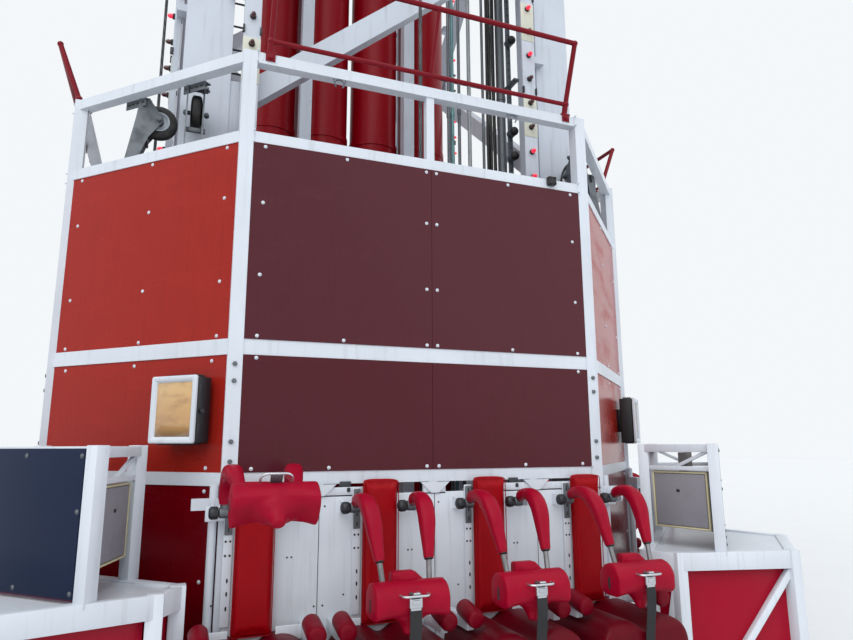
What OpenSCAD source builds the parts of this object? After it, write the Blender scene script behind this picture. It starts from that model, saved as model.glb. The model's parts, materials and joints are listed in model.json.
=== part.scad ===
// Drop tower ride: a ring-shaped seat carriage round a square lattice mast, with four corner stands.
// Frame: millimetres, +Z up, deck at z = 0, tower axis at x = y = 0, front sign face towards -Y.

/* [Part to build] */
// Which sub-part to build

/* [Carriage ring] */
// Spacing of the two corner posts of a main face
face_w = 2000; // [1600:10:2400]
// Tower axis to the post centre line of a main face
apothem = 1870; // [1700:10:2200]
// Corner post, square tube
post = 70; // [50:1:100]
// Rails, square tube
rail = 60; // [40:1:80]
// Twin middle rails, each one high
mid_rail = 38; // [30:1:50]
// Slim post and stays
slim = 46; // [30:1:60]
// Height of the bottom rail centre
z_foot = 560; // [450:5:700]
// Height of the lower rail centre
z_low = 1450; // [1300:5:1600]
// Height of the seam between the twin middle rails
z_mid = 2064; // [1900:1:2300]
// Height of the rail on top of the panels
z_panel = 3137; // [2900:1:3400]
// Height of the handrail centre
z_hand = 3580; // [3300:5:3900]

/* [Panels] */
// Sign and corner panel thickness
panel_t = 12; // [4:1:30]
// Gap between a panel edge and the rail it is set in
panel_gap = 6; // [0:1:20]
// Seat back panel thickness
back_t = 20; // [8:1:40]
// Seat back panel half width
back_half = 1165; // [1100:5:1200]
// Seat back panel lower edge
back_z0 = 600; // [500:5:700]
// Seat back panel upper edge
back_z1 = 1404; // [1300:1:1440]

/* [Seats] */
// Seat spacing along a face
seat_pitch = 586; // [540:1:640]
// Back pad width
pad_w = 182; // [140:1:240]
// Back pad thickness
pad_t = 46; // [30:1:70]
// Back pad lower end
pad_z0 = 782; // [700:1:850]
// Back pad upper end
pad_z1 = 1440; // [1350:5:1500]
// Clear gap between a soft piece and what it lies on
soft_gap = 0.3; // [0.1:0.1:1]
// Thigh lobe radius
lobe_r = 76; // [50:1:95]
// Thigh lobe offset from the seat centre
lobe_x = 98; // [80:1:120]
// Thigh lobe centre height
lobe_z = 700; // [650:5:750]
// Seat front end, distance from the tower axis
seat_front = 2400; // [2300:5:2500]
// Side bolster radius
bolster_r = 46; // [30:1:60]
// Side bolster offset from the seat centre
bolster_x = 230; // [200:1:250]
// Side bolster length to its rounded end
bolster_len = 283; // [150:1:330]
// Side bolster root height
bolster_z = 950; // [900:5:1000]
// Side bolster slope towards its end, degrees
bolster_tilt = 23; // [0:1:35]

/* [Restraints] */
// Hinge axis, distance from the tower axis
hinge_y = 1996; // [1950:1:2050]
// Hinge axis height
hinge_z = 1315; // [1250:1:1400]
// Arm plane offset from the seat centre
arm_x = 140; // [110:1:170]
// Shoulder bend radius of an arm
arm_bend = 86; // [60:1:120]
// Arm radius at the shoulder
arm_r = 34; // [25:1:45]
// Arm radius at its lower end
arm_r2 = 25; // [18:1:35]
// Length of the straight part of an arm
arm_len = 236; // [180:1:300]
// Grey bar radius
bar_r = 12; // [8:1:18]
// Chest pad half width
chest_half = 178; // [150:1:210]
// Chest pad roll radius
chest_r = 88; // [60:1:110]
// Opening swing of a restraint, degrees
lift = 53; // [30:1:60]
// Hinge pin radius
pin_r = 11; // [8:1:16]
// Clearance between pin and hub bore
pin_fit = 0.08; // [0.02:0.02:0.1]

/* [Mast] */
// Half width over the outer faces of the columns
mast_half = 1330; // [1200:5:1400]
// Column, square tube
col = 270; // [200:5:320]
// Column wall
col_wall = 16; // [8:1:30]
// Height of the built length of mast
mast_h = 11400; // [9000:100:12000]
// Bay height
bay = 1900; // [1500:10:2200]
// Height of the first node where two braces meet
node_z1 = 1650; // [1200:10:2000]
// Brace height in the plane of the face
brace_h = 140; // [80:5:200]
// Brace thickness
brace_t = 100; // [50:5:140]
// Base plate side
plate = 460; // [380:10:600]
// Base plate thickness
plate_t = 30; // [15:1:60]
// Anchor bolt spacing on a base plate
bolt_sp = 370; // [300:5:500]
// Anchor bolt hole radius
bolt_r = 16; // [8:1:24]

/* [Machinery] */
// Launch cylinder radius
cyl_r = 200; // [150:5:240]
// Launch cylinder wall
cyl_wall = 14; // [8:1:30]
// Spacing of the inner pair of cylinders
cyl_in = 440; // [410:5:500]
// Spacing of the outer pair of cylinders
cyl_out = 1320; // [1250:5:1400]
// Upper end of the cylinders
cyl_top = 10400; // [9000:50:11000]
// Rack post, square tube
rack = 90; // [60:1:120]
// Hoist cable radius
cable_r = 11; // [6:1:18]
// Hoist cable distance from the tower axis
cable_y = 1500; // [1420:5:1560]
// Hoist cable offset from the middle of a face
cable_x = 90; // [0:5:200]
// Sheave radius
sheave_r = 210; // [150:5:260]
// Guide wheel radius
wheel_r = 100; // [70:1:130]
// Guide wheel width
wheel_w = 62; // [40:1:90]
// Guide wheel position along a mast face
wheel_x = 1240; // [1130:5:1290]
// Height of the upper guide wheels
wheel_z1 = 3440; // [3200:5:3600]
// Height of the lower guide wheels
wheel_z0 = 860; // [700:5:1100]
// Running gap between wheel and mast
wheel_gap = 5; // [5:1:12]

/* [Service rails] */
// Half length of a guard loop over a face
loop_half = 900; // [700:5:950]
// Tube radius of the guard loops
loop_r = 15; // [10:1:22]
// Low bar above the handrail
loop_low = 70; // [50:5:150]
// High bar above the handrail
loop_high = 410; // [300:5:600]
// Lean of the high bar in front of the handrail
loop_lean = 150; // [0:5:250]

/* [Stands] */
// Stand height to the top of its upper beam
stand_h = 1040; // [900:5:1150]
// Stand tube
stand_tube = 60; // [40:1:80]
// Stand front edge, distance from the tower axis
stand_out = 2230; // [2150:5:2350]
// Stand end nearest the seats
stand_in = 1260; // [1220:5:1350]
// Stand corner where the front edge turns
stand_turn = 1730; // [1650:5:1800]
// Sign box height above the stand
box_h = 620; // [450:5:700]

/* [Hidden] */
$fn = 48;
hw = face_w / 2;
white = [0.86, 0.88, 0.91];
maroon = [0.35, 0.18, 0.21];
orange_red = [0.70, 0.17, 0.15];
deep_red = [0.45, 0.02, 0.06];
crimson = [0.58, 0.0, 0.10];
grey = [0.40, 0.41, 0.43];
dark = [0.12, 0.12, 0.13];
navy = [0.13, 0.19, 0.32];
col_c = mast_half - col / 2;
col_in = mast_half - col;
post_face = apothem + post / 2;
back_face = post_face + back_t;
pad_face = back_face + soft_gap + pad_t;
z_post_top = z_hand + rail / 2;
z_post_bot = z_foot - rail / 2;
brace_y = mast_half - 20 - brace_t / 2;
bays = 5;
foot_rung_z = 180;
head_rung_gap = 170;
head_z = mast_h;
head_h = 180;
axle_z = mast_h + head_h + 260;
stand_cut = 3010;
corner_c = (hw + apothem) / 2;
axle_r = 14;
axle_fit = 0.08;
yoke_z = cyl_top + 240;
hub_len = 74;
hub_r = 36;
lug_t = 12;
chest_f = 350;
chest_z = -352;
cyl_bot = 330;

module box(x0, x1, y0, y1, z0, z1) {
  translate([min(x0, x1), min(y0, y1), min(z0, z1)])
    cube([abs(x1 - x0), abs(y1 - y0), abs(z1 - z0)]);
}

module turn(k) {
  rotate([0, 0, 90 * k]) children();
}

// Straight round bar from a to b
module rod(a, b, r, r2 = -1) {
  d = b - a;
  len = norm(d);
  translate(a)
    rotate([0, acos(d[2] / len), atan2(d[1], d[0])])
      cylinder(r1 = r, r2 = r2 < 0 ? r : r2, h = len);
}

// Rail along the 45 degree corner between two main faces (front left corner)
module corner_rail(z, h, t, over = 40) {
  translate([-corner_c, -corner_c, z])
    rotate([0, 0, -45])
      translate([-(apothem - hw) / sqrt(2) - over, -t / 2, -h / 2])
        cube([(apothem - hw) * sqrt(2) + 2 * over, t, h]);
}

module post_box(x, y, z0 = 0, z1 = 5000) {
  box(x - post / 2, x + post / 2, y - post / 2, y + post / 2, z0, z1);
}

// Mast
module one_column(sx, sy) {
  difference() {
    union() {
      box(sx * col_in, sx * mast_half, sy * col_in, sy * mast_half, plate_t - 1, mast_h);
      box(sx * col_c - plate / 2, sx * col_c + plate / 2, sy * col_c - plate / 2, sy * col_c + plate / 2, 0, plate_t);
    }
    box(sx * (col_in + col_wall), sx * (mast_half - col_wall), sy * (col_in + col_wall), sy * (mast_half - col_wall),
      plate_t + 2, mast_h + 5);
    for (a = [-1, 1])
      for (b = [-1, 1])
        translate([sx * col_c + a * bolt_sp / 2, sy * col_c + b * bolt_sp / 2, -5])
          cylinder(r = bolt_r, h = plate_t + 10);
  }
}

module mast_columns() {
  color(white)
    for (sx = [-1, 1])
      for (sy = [-1, 1])
        one_column(sx, sy);
}

// Bar outline in the plane of a mast face
module bar_2d(x0, z0, x1, z1, h) {
  translate([x0, z0])
    rotate(atan2(z1 - z0, x1 - x0))
      translate([0, -h / 2])
        square([norm([x1 - x0, z1 - z0]), h]);
}

// Bracing of one mast face: a zigzag with a rung at its foot and one at its head
module bracing() {
  end_x = col_in + 60;
  translate([0, -brace_y + brace_t / 2, 0])
    rotate([90, 0, 0])
      linear_extrude(height = brace_t)
        intersection() {
          translate([-col_in, 0]) square([2 * col_in, mast_h]);
          union() {
            for (k = [0:bays - 1]) {
              s = k % 2 == 0 ? 1 : -1;
              bar_2d(s * end_x, node_z1 + k * bay, -s * end_x, node_z1 + (k + 1) * bay, brace_h);
            }
            bar_2d(-end_x, foot_rung_z + brace_h / 2, end_x, node_z1, brace_h);
            bar_2d(-end_x, foot_rung_z, end_x, foot_rung_z, brace_h - 20);
            bar_2d(-end_x, mast_h - head_rung_gap, end_x, mast_h - head_rung_gap, brace_h - 20);
          }
        }
}

module mast_bracing_front() {
  color(white) bracing();
}

module mast_bracing_right() {
  color(white) turn(1) bracing();
}

module mast_bracing_back() {
  color(white) turn(2) bracing();
}

module mast_bracing_left() {
  color(white) turn(3) bracing();
}

// Launch machinery
module launch_cylinders() {
  color(crimson)
    for (x = [-cyl_out / 2, -cyl_in / 2, cyl_in / 2, cyl_out / 2])
      translate([x, 0, 0]) {
        difference() {
          translate([0, 0, cyl_bot]) cylinder(r = cyl_r, h = cyl_top - cyl_bot, $fn = 64);
          translate([0, 0, cyl_bot + 40]) cylinder(r = cyl_r - cyl_wall, h = cyl_top, $fn = 64);
        }
        translate([0, 0, cyl_top - 90]) cylinder(r = cyl_r - cyl_wall + 1, h = 80, $fn = 64);
        translate([0, 0, cyl_top - 60]) cylinder(r = 60, h = yoke_z - cyl_top + 60);
      }
}

module cylinder_rack() {
  color(white) {
    for (sx = [-1, 1])
      for (sy = [-1, 1])
        box(sx * 430 - rack / 2, sx * 430 + rack / 2, sy * 255, sy * (255 + rack), 0, cyl_top - 100);
    for (sy = [-1, 1]) {
      for (z = [240, 3700, 7300, 10200])
        box(-brace_y + brace_t / 2, brace_y - brace_t / 2, sy * (255 + rack - 1), sy * (255 + rack + 80), z, z + 110);
      for (z = [280, 3740, 7340, 10240])
        box(-900, 900, sy * (cyl_r + 1), sy * 256, z, z + 50);
    }
    // base plate on the deck under the cylinders
    box(-900, 900, -345, 345, 0, 20);
    for (x = [-660, -220, 220, 660])
      box(x - 160, x + 160, -256, 256, cyl_bot - 50, cyl_bot);
    for (x = [-660, 660])
      for (sy = [-1, 1])
        box(x - 30, x + 30, sy * 180, sy * 240, 19, cyl_bot - 49);
  }
}

// Crosshead over the piston rods, where the hoist cables end
module crosshead() {
  color(white)
    difference() {
      for (k = [0, 1])
        rotate([0, 0, 90 * k]) box(-140, 140, -1100, 1100, yoke_z, yoke_z + 80);
      for (x = [-cyl_out / 2 + cyl_in / 2, 0, cyl_out / 2 - cyl_in / 2])
        translate([x, 0, yoke_z - 5]) cylinder(r = 60, h = 100, $fn = 32);
    }
}

module head_frame() {
  color(white) {
    for (s = [-1, 1]) {
      box(-mast_half, mast_half, s * (mast_half - col + 20), s * (mast_half - 20), head_z, head_z + head_h);
      box(s * (mast_half - col + 20), s * (mast_half - 20), -mast_half + col - 21, mast_half - col + 21, head_z, head_z + head_h);
    }
    for (k = [0:3])
      turn(k)
        for (s = [-1, 1]) {
          box(cable_x + s * 62 - 8, cable_x + s * 62 + 8, -1560, -1000, head_z + head_h, axle_z + 70);
          box(cable_x + s * 62 - 8, cable_x + s * 62 + 60 * (s + 1) / 2 - 60 * (1 - s) / 2, -mast_half + 25, -col_in - 25,
            head_z + head_h - 1, head_z + head_h + 14);
        }
  }
}

module head_sheaves() {
  color(dark)
    for (k = [0:3])
      turn(k)
        translate([cable_x, -cable_y + sheave_r + cable_r, axle_z])
          rotate([0, 90, 0]) {
            difference() {
              cylinder(r = sheave_r + 24, h = 60, center = true, $fn = 64);
              rotate_extrude($fn = 64) translate([sheave_r + cable_r, 0]) circle(r = cable_r + 2, $fn = 24);
              rotate_extrude($fn = 64) translate([sheave_r + cable_r, -cable_r - 2]) square([60, 2 * cable_r + 4]);
              for (a = [0:60:300])
                rotate([0, 0, a]) translate([115, 0, -50]) cylinder(r = 34, h = 100, $fn = 32);
            }
            cylinder(r = 34, h = 108, center = true);
          }
}

// Each cable: up the face, over the sheave, down to a cylinder head
module one_cable() {
  xs = cable_x;
  r = sheave_r + cable_r;
  translate([xs, -cable_y, 60]) cylinder(r = cable_r, h = axle_z - 60, $fn = 16);
  translate([xs, -cable_y + r, axle_z])
    rotate([90, 0, 90])
      rotate_extrude(angle = 180, $fn = 64) translate([r, 0]) circle(r = cable_r, $fn = 16);
  translate([xs, -cable_y + 2 * r, yoke_z + 80]) cylinder(r = cable_r, h = axle_z - yoke_z - 80, $fn = 16);
  translate([xs, -cable_y + 2 * r, yoke_z + 80]) cylinder(r = 26, h = 110, $fn = 24);
  translate([xs, -cable_y, 0]) cylinder(r = 34, h = 90, $fn = 24);
}

module hoist_cables() {
  color(dark)
    for (k = [0:3])
      turn(k) one_cable();
}

module service_pipes() {
  color(grey) {
    for (p = [[560, 14], [596, 17], [650, 13], [722, 16], [800, 11]])
      translate([p[0], -900, 250]) cylinder(r = p[1], h = mast_h - 700, $fn = 24);
    translate([880, -905, 250]) cylinder(r = 34, h = mast_h - 700, $fn = 32);
    translate([975, -900, 250]) cylinder(r = 27, h = mast_h - 700, $fn = 32);
    for (z = [600, 2500, 4400, 6300, 8200, 10100])
      {
        box(520, 1110, -890, -868, z, z + 40);
        box(1070, 1110, -col_in, -868, z, z + 40);
      }
    for (z = [3340, 3560, 4560, 4780, 5900])
      translate([1040, -960, z]) rotate([90, 0, 0]) cylinder(r = 46, h = 80, $fn = 32);
    box(1014, 1058, -962, -880, 3250, 6000);
  }
}

module light_strips() {
  color(white)
    for (k = [0:3])
      turn(k)
        for (s = [-1, 1]) {
          box(s * 905, s * 1005, -mast_half - 72, -mast_half - 60, 500, mast_h - 200);
          box(s * 1000, s * 1005, -mast_half - 62, -mast_half - 32, 500, mast_h - 200);
          for (z = [600, 2400, 4300, 6200, 8100, 10000, 11000])
            box(s * 1000, s * (col_in + 30), -mast_half - 62, -mast_half, z, z + 50);
        }
}

// Corner stands
stand_pts = [[-stand_in, -(stand_cut - stand_in)], [-stand_in, -stand_out], [-stand_turn, -stand_out],
  [-stand_out, -stand_turn], [-stand_out, -stand_in], [-(stand_cut - stand_in), -stand_in]];

module stand_beam(i, z, h = 60, t = 60) {
  a = stand_pts[i];
  b = stand_pts[(i + 1) % 6];
  d = b - a;
  translate([a[0], a[1], z])
    rotate([0, 0, atan2(d[1], d[0])])
      translate([0, -t / 2, -h / 2])
        cube([norm(d), t, h]);
}

module stand_frame() {
  for (p = stand_pts)
    translate([p[0], p[1], 0]) cylinder(r = stand_tube / 2 + 4, h = stand_h, $fn = 32);
  for (i = [0:5]) {
    stand_beam(i, stand_h - stand_tube / 2, stand_tube, stand_tube);
    stand_beam(i, 130, 50, 50);
  }
  for (i = [0, 1, 2, 3, 4]) {
    a = stand_pts[i];
    b = stand_pts[i + 1];
    rod([a[0], a[1], 150], [b[0], b[1], stand_h - 60], 20);
  }
  // deck plate inside the upper beams
  translate([0, 0, stand_h - 30])
    linear_extrude(height = 12) polygon(stand_pts);
  // sign box on top, parallel with the corner of the carriage
  translate([-1434, -1434, 0])
    rotate([0, 0, -45])
      difference() {
        box(-470, 250, -462, -172, stand_h - 20, stand_h + box_h);
        box(-412, 192, -500, -100, stand_h + 55, stand_h + box_h - 58);
        box(-500, 300, -404, -230, stand_h + 55, stand_h + box_h - 58);
        box(-412, 192, -404, -230, stand_h - 100, stand_h + box_h + 100);
      }
}

module corner_stand_frames() {
  color(white)
    for (k = [0:3])
      if (k % 2 == 0)
        turn(k) stand_frame();
      else
        turn(k) mirror([1, -1, 0]) stand_frame();
}

module stand_panels() {
  for (i = [0, 1, 2, 3, 4]) {
    a = stand_pts[i];
    b = stand_pts[i + 1];
    d = b - a;
    translate([a[0], a[1], 0])
      rotate([0, 0, atan2(d[1], d[0])])
        box(stand_tube / 2 + 8, norm(d) - stand_tube / 2 - 8, -30, -24, 155, stand_h - stand_tube);
  }
  translate([-1434, -1434, 0])
    rotate([0, 0, -45])
      box(-412, 192, -452, -440, stand_h + 55, stand_h + box_h - 58);
}

module corner_stand_panels() {
  color(deep_red)
    for (k = [0:3])
      if (k % 2 == 0)
        turn(k) stand_panels();
      else
        turn(k) mirror([1, -1, 0]) stand_panels();
}

module one_speaker() {
  translate([-1434, -1434, 0])
    rotate([0, 0, -45]) {
      box(192 - 120, 192, -400, -234, stand_h + 150, stand_h + 480);
      box(192, 200, -380, -254, stand_h + 170, stand_h + 460);
      box(120, 150, -345, -290, stand_h + 479, stand_h + box_h - 20);
      box(120, 150, -404, -230, stand_h + box_h - 40, stand_h + box_h - 20);
    }
}

module loudspeakers() {
  color(grey)
    for (k = [0:3])
      if (k % 2 == 0)
        turn(k) one_speaker();
      else
        turn(k) mirror([1, -1, 0]) one_speaker();
}

// Carriage ring
module face_frame() {
  for (s = [-1, 1])
    post_box(s * hw, -apothem, z_post_bot, z_post_top);
  for (z = [z_foot, z_low, z_panel, z_hand])
    box(-hw, hw, -apothem - rail / 2, -apothem + rail / 2, z - rail / 2, z + rail / 2);
  box(-hw, hw, -apothem - rail / 2, -apothem + rail / 2, z_mid, z_mid + mid_rail);
  box(-hw, hw, -apothem - rail / 2, -apothem + rail / 2, z_mid - mid_rail, z_mid + 1);
  box(-slim / 2, slim / 2, -apothem - slim / 2, -apothem + slim / 2, z_panel, z_hand);
  for (x = [-seat_pitch, 0, seat_pitch])
    box(x - slim / 2, x + slim / 2, -apothem - rail / 2, -apothem + rail / 2 - 14, z_foot, z_low);
  // seat frame wings that carry the outer seats
  for (s = [-1, 1])
    for (z = [back_z0 + 60, back_z1 - 60])
      box(s * hw, s * (back_half - 10), -post_face, -post_face + 34, z - 25, z + 25);
}

module frame_front() {
  color(white) face_frame();
}

module frame_right() {
  color(white) turn(1) face_frame();
}

module frame_back() {
  color(white) turn(2) face_frame();
}

module frame_left() {
  color(white) turn(3) face_frame();
}

module corner_frame() {
  difference() {
    union() {
      for (z = [z_foot, z_low, z_panel, z_hand])
        corner_rail(z, rail, rail);
      corner_rail(z_mid + mid_rail / 2, mid_rail, rail);
      corner_rail(z_mid - mid_rail / 2 + 0.5, mid_rail + 1, rail);
    }
    for (p = [[-hw, -apothem], [-apothem, -hw]])
      post_box(p[0], p[1]);
    // trim what would run past the posts
    box(-hw + post / 2, 0, -3000, 0, 0, 5000);
    box(-3000, 0, -hw + post / 2, 0, 0, 5000);
    box(-3000, 0, -3000, -post_face, 0, 5000);
    box(-3000, -post_face, -3000, 0, 0, 5000);
  }
}

module corner_frames() {
  color(white)
    for (k = [0:3])
      turn(k) corner_frame();
}

module sign_panel_set() {
  y0 = -apothem - rail / 2 + 8;
  for (s = [-1, 1]) {
    box(s * 1, s * (hw - post / 2), y0 - panel_t, y0, z_mid + mid_rail, z_panel - rail / 2);
    box(s * 1, s * (hw - post / 2), y0 - panel_t, y0, z_low + rail / 2, z_mid - mid_rail);
  }
}

module sign_panels() {
  color(maroon)
    for (k = [0:3])
      turn(k) sign_panel_set();
}

module corner_panel() {
  difference() {
    for (zz = [[z_mid + mid_rail, z_panel - rail / 2], [z_low + rail / 2, z_mid - mid_rail], [z_foot + rail / 2, z_low - rail / 2]])
      translate([-corner_c, -corner_c, 0])
        rotate([0, 0, -45])
          box(-(apothem - hw) / sqrt(2) + 12, (apothem - hw) / sqrt(2) - 12, -rail / 2 + 6, -rail / 2 + 6 + panel_t, zz[0], zz[1]);
    for (p = [[-hw, -apothem], [-apothem, -hw]])
      post_box(p[0], p[1]);
  }
}

module corner_panels() {
  color(orange_red)
    for (k = [0:3])
      turn(k) corner_panel();
}

// Lug plates that carry the hinge pins of a restraint
module hinge_lug(x) {
  translate([x, 0, 0])
    difference() {
      union() {
        box(-lug_t / 2, lug_t / 2, -hinge_y, -back_face + 1, hinge_z - 30, hinge_z + 30);
        translate([0, -hinge_y, hinge_z])
          rotate([0, 90, 0]) cylinder(r = 30, h = lug_t, center = true);
        box(-18, 18, -back_face - 10, -back_face + 1, hinge_z - 95, hinge_z + 80);
      }
      translate([0, -hinge_y, hinge_z])
        rotate([0, 90, 0]) cylinder(r = pin_r + pin_fit, h = 60, center = true, $fn = 32);
    }
}

module seat_back_set() {
  difference() {
    box(-back_half, back_half, -back_face, -post_face, back_z0, back_z1);
    for (s = [-1, 1])
      box(s * 60, s * 240, -back_face - 5, -post_face + 5, back_z1 - 34, back_z1 + 5);
  }
  for (i = [-1.5, -0.5, 0.5, 1.5])
    translate([i * seat_pitch, 0, 0]) {
      box(-pad_w / 2 - 52, -pad_w / 2 - 12, -back_face - 8, -back_face + 1, pad_z0 + 8, back_z1 - 2);
      for (s = [-1, 1])
        hinge_lug(s * (arm_x + hub_len / 2 + 6 + lug_t / 2));
    }
}

module seat_backs_front() {
  color(white) seat_back_set();
}

module seat_backs_right() {
  color(white) turn(1) seat_back_set();
}

module seat_backs_back() {
  color(white) turn(2) seat_back_set();
}

module seat_backs_left() {
  color(white) turn(3) seat_back_set();
}

module back_pads() {
  color(crimson)
    for (k = [0:3])
      turn(k)
        for (i = [-1.5, -0.5, 0.5, 1.5])
          translate([i * seat_pitch, 0, 0])
            box(-pad_w / 2, pad_w / 2, -pad_face, -back_face - soft_gap, pad_z0, pad_z1);
}

module one_seat() {
  for (s = [-1, 1]) {
    // thigh lobe with a rounded-off front end
    translate([s * lobe_x, 0, lobe_z])
      rotate([90, 0, 0]) {
        translate([0, 0, back_face + 2]) cylinder(r = lobe_r, h = seat_front - 44 - back_face - 2);
        translate([0, 0, seat_front - 44]) cylinder(r1 = lobe_r, r2 = lobe_r - 18, h = 30);
        translate([0, 0, seat_front - 14]) cylinder(r1 = lobe_r - 18, r2 = lobe_r - 38, h = 14);
      }
    // side bolster on its foot
    translate([s * bolster_x, -back_face - 30, bolster_z])
      rotate([90 + bolster_tilt, 0, 0]) {
        cylinder(r = bolster_r, h = bolster_len);
        translate([0, 0, bolster_len]) cylinder(r1 = bolster_r, r2 = bolster_r - 14, h = 24);
      }
    box(s * (bolster_x - 14), s * (bolster_x + 14), -2180, -back_face, 640, 860);
  }
  // pan under the lobes
  box(-250, 250, -seat_front + 60, -back_face, 618, 652);
}

module seat_set() {
  for (i = [-1.5, -0.5, 0.5, 1.5])
    translate([i * seat_pitch, 0, 0]) one_seat();
}

module seats_front() {
  color(crimson) seat_set();
}

module seats_right() {
  color(crimson) turn(1) seat_set();
}

module seats_back() {
  color(crimson) turn(2) seat_set();
}

module seats_left() {
  color(crimson) turn(3) seat_set();
}

// Restraint in its own frame: hinge axis along x at the origin, forward is -y, closed pose
module restraint() {
  for (s = [-1, 1]) {
    // hub with its pin
    translate([s * arm_x, 0, 0])
      rotate([0, 90, 0]) cylinder(r = hub_r, h = hub_len, center = true);
    translate([s * (arm_x + hub_len / 2 + 14), 0, 0])
      rotate([0, 90, 0]) cylinder(r = pin_r, h = 40, center = true, $fn = 32);
    // shoulder bend
    translate([s * arm_x, 0, 0])
      translate([0, -arm_bend * cos(45), -arm_bend * sin(45)])
        rotate([90, 0, -90])
          rotate([0, 0, 41])
            rotate_extrude(angle = 94, $fn = 64) translate([arm_bend, 0]) circle(r = arm_r, $fn = 40);
    // straight tapered part, with a seam ring at each end
    a = [s * arm_x, -arm_bend * (cos(45) + cos(41)), arm_bend * (sin(41) - sin(45))];
    v = [0, -sin(41), -cos(41)];
    b = a + arm_len * v;
    rod(a - 4 * v, a + 4 * v, arm_r + 1.5);
    rod(a, b, arm_r, arm_r2);
    rod(b, b + 12 * v, arm_r2, arm_r2 - 8);
    // grey bar down to the chest pad
    rod(b, [s * (arm_x - 14), -chest_f + 20, chest_z + 40], bar_r);
  }
  // chest pad: roll with flat ends, cut for the thighs
  difference() {
    union() {
      translate([0, -chest_f, chest_z])
        rotate([0, 90, 0]) cylinder(r = chest_r, h = 2 * chest_half, center = true, $fn = 64);
      box(-chest_half, chest_half, -chest_f - chest_r + 7, -chest_f + chest_r - 7, chest_z - 84, chest_z);
    }
    for (s = [-1, 1])
      translate([s * 106, -chest_f - 150, chest_z - 152])
        rotate([-90, 0, 0]) cylinder(r = 96, h = 300, $fn = 64);
    for (s = [-1, 1])
      translate([s * chest_half, -chest_f, chest_z - 10])
        box(-6, 6, -14, 14, -34, 34);
  }
  // hump behind the roll
  translate([0, -chest_f + chest_r - 12, 0])
    rotate([90, 0, 0])
      linear_extrude(height = 60)
        polygon([[-92, chest_z + 20], [92, chest_z + 20], [60, chest_z + 108], [-60, chest_z + 108]]);
  // handle plate and buckle
  box(-52, 52, -chest_f - chest_r - 14, -chest_f - 46, chest_z + 34, chest_z + 42);
  box(-17, 17, -chest_f - chest_r - 16, -chest_f - 60, chest_z - 14, chest_z + 36);
}

// Lap strap from the buckle to just above the seat
module strap() {
  box(-13, 13, -chest_f - chest_r - 10, -chest_f - chest_r - 4, chest_z - 150, chest_z - 10);
}

module placed(i, angle = 0, with_strap = true) {
  translate([i * seat_pitch, -hinge_y, hinge_z])
    rotate([-angle, 0, 0]) {
      restraint();
      if (with_strap)
        strap();
    }
}

module restraint_front_1() {
  color(crimson) placed(-1.5, lift, false);
}

module restraint_front_2() {
  color(crimson) placed(-0.5);
}

module restraint_front_3() {
  color(crimson) placed(0.5);
}

module restraint_front_4() {
  color(crimson) placed(1.5);
}

module restraint_set() {
  for (i = [-1.5, -0.5, 0.5, 1.5])
    placed(i);
}

module restraints_right() {
  color(crimson) turn(1) restraint_set();
}

module restraints_back() {
  color(crimson) turn(2) restraint_set();
}

module restraints_left() {
  color(crimson) turn(3) restraint_set();
}

// Forks at one corner: each holds one wheel on the front face and one on the side face
module fork_front(z) {
  yc = -mast_half - wheel_gap - wheel_r;
  for (s = [-1, 1])
    translate([-wheel_x + s * (wheel_w / 2 + 12), 0, 0]) {
      box(-5, 5, yc - 46, yc + 46, z - 46, z + 46);
      box(-5, 5, -1700, yc - 40, z - 46, z + 46);
    }
  translate([-wheel_x, yc, z])
    rotate([0, 90, 0]) cylinder(r = axle_r, h = wheel_w + 46, center = true);
}

module fork_pair(z, zr) {
  difference() {
    for (m = [0, 1])
      mirror([m, -m, 0]) fork_front(z);
    translate([-corner_c, -corner_c, 0])
      rotate([0, 0, -45]) box(-900, 900, -900, rail / 2 + 7, z - 200, z + 200);
  }
  // carrier plate behind the corner rail
  translate([-corner_c, -corner_c, 0])
    rotate([0, 0, -45]) {
      box(-330, 330, rail / 2, rail / 2 + 14, z - 90, z + 90);
      for (s = [-1, 1])
        box(s * 60, s * 120, rail / 2, rail / 2 + 14, min(z, zr) - 30, max(z, zr) + 30);
    }
}

module guide_forks() {
  color(grey)
    for (k = [0:3])
      turn(k) {
        fork_pair(wheel_z1, z_hand);
        fork_pair(wheel_z0, z_foot);
      }
}

module one_wheel(z) {
  translate([-wheel_x, -mast_half - wheel_gap - wheel_r, z])
    rotate([0, 90, 0])
      difference() {
        union() {
          cylinder(r = wheel_r, h = wheel_w - 14, center = true, $fn = 64);
          cylinder(r = wheel_r - 24, h = wheel_w, center = true, $fn = 64);
        }
        cylinder(r = axle_r + axle_fit, h = wheel_w + 10, center = true, $fn = 48);
        for (a = [0:72:288])
          rotate([0, 0, a]) translate([48, 0, 0]) cylinder(r = 9, h = wheel_w + 10, center = true, $fn = 24);
      }
}

// The wheels that show in front turn on their own, the rest of the set is one node
module guide_wheels() {
  color(dark)
    for (k = [0:3])
      turn(k)
        for (m = [0, 1])
          mirror([m, -m, 0]) {
            if (!(k == 0 || (k == 1 && m == 1)))
              one_wheel(wheel_z1);
            one_wheel(wheel_z0);
          }
}

module guide_wheel_a() {
  color(dark) one_wheel(wheel_z1);
}

module guide_wheel_b() {
  color(dark) mirror([1, -1, 0]) one_wheel(wheel_z1);
}

module guide_wheel_c() {
  color(dark) turn(1) mirror([1, -1, 0]) one_wheel(wheel_z1);
}

module floodlights() {
  color(dark)
    for (k = [0:3])
      turn(k)
        translate([-corner_c, -corner_c, 0])
          rotate([0, 0, -45]) {
            box(-160, 160, -rail / 2 - 110, -rail / 2 - 30, 1620, 1955);
            box(-120, 120, -rail / 2 - 31, -rail / 2 + 6, 1660, 1900);
          }
}

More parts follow.
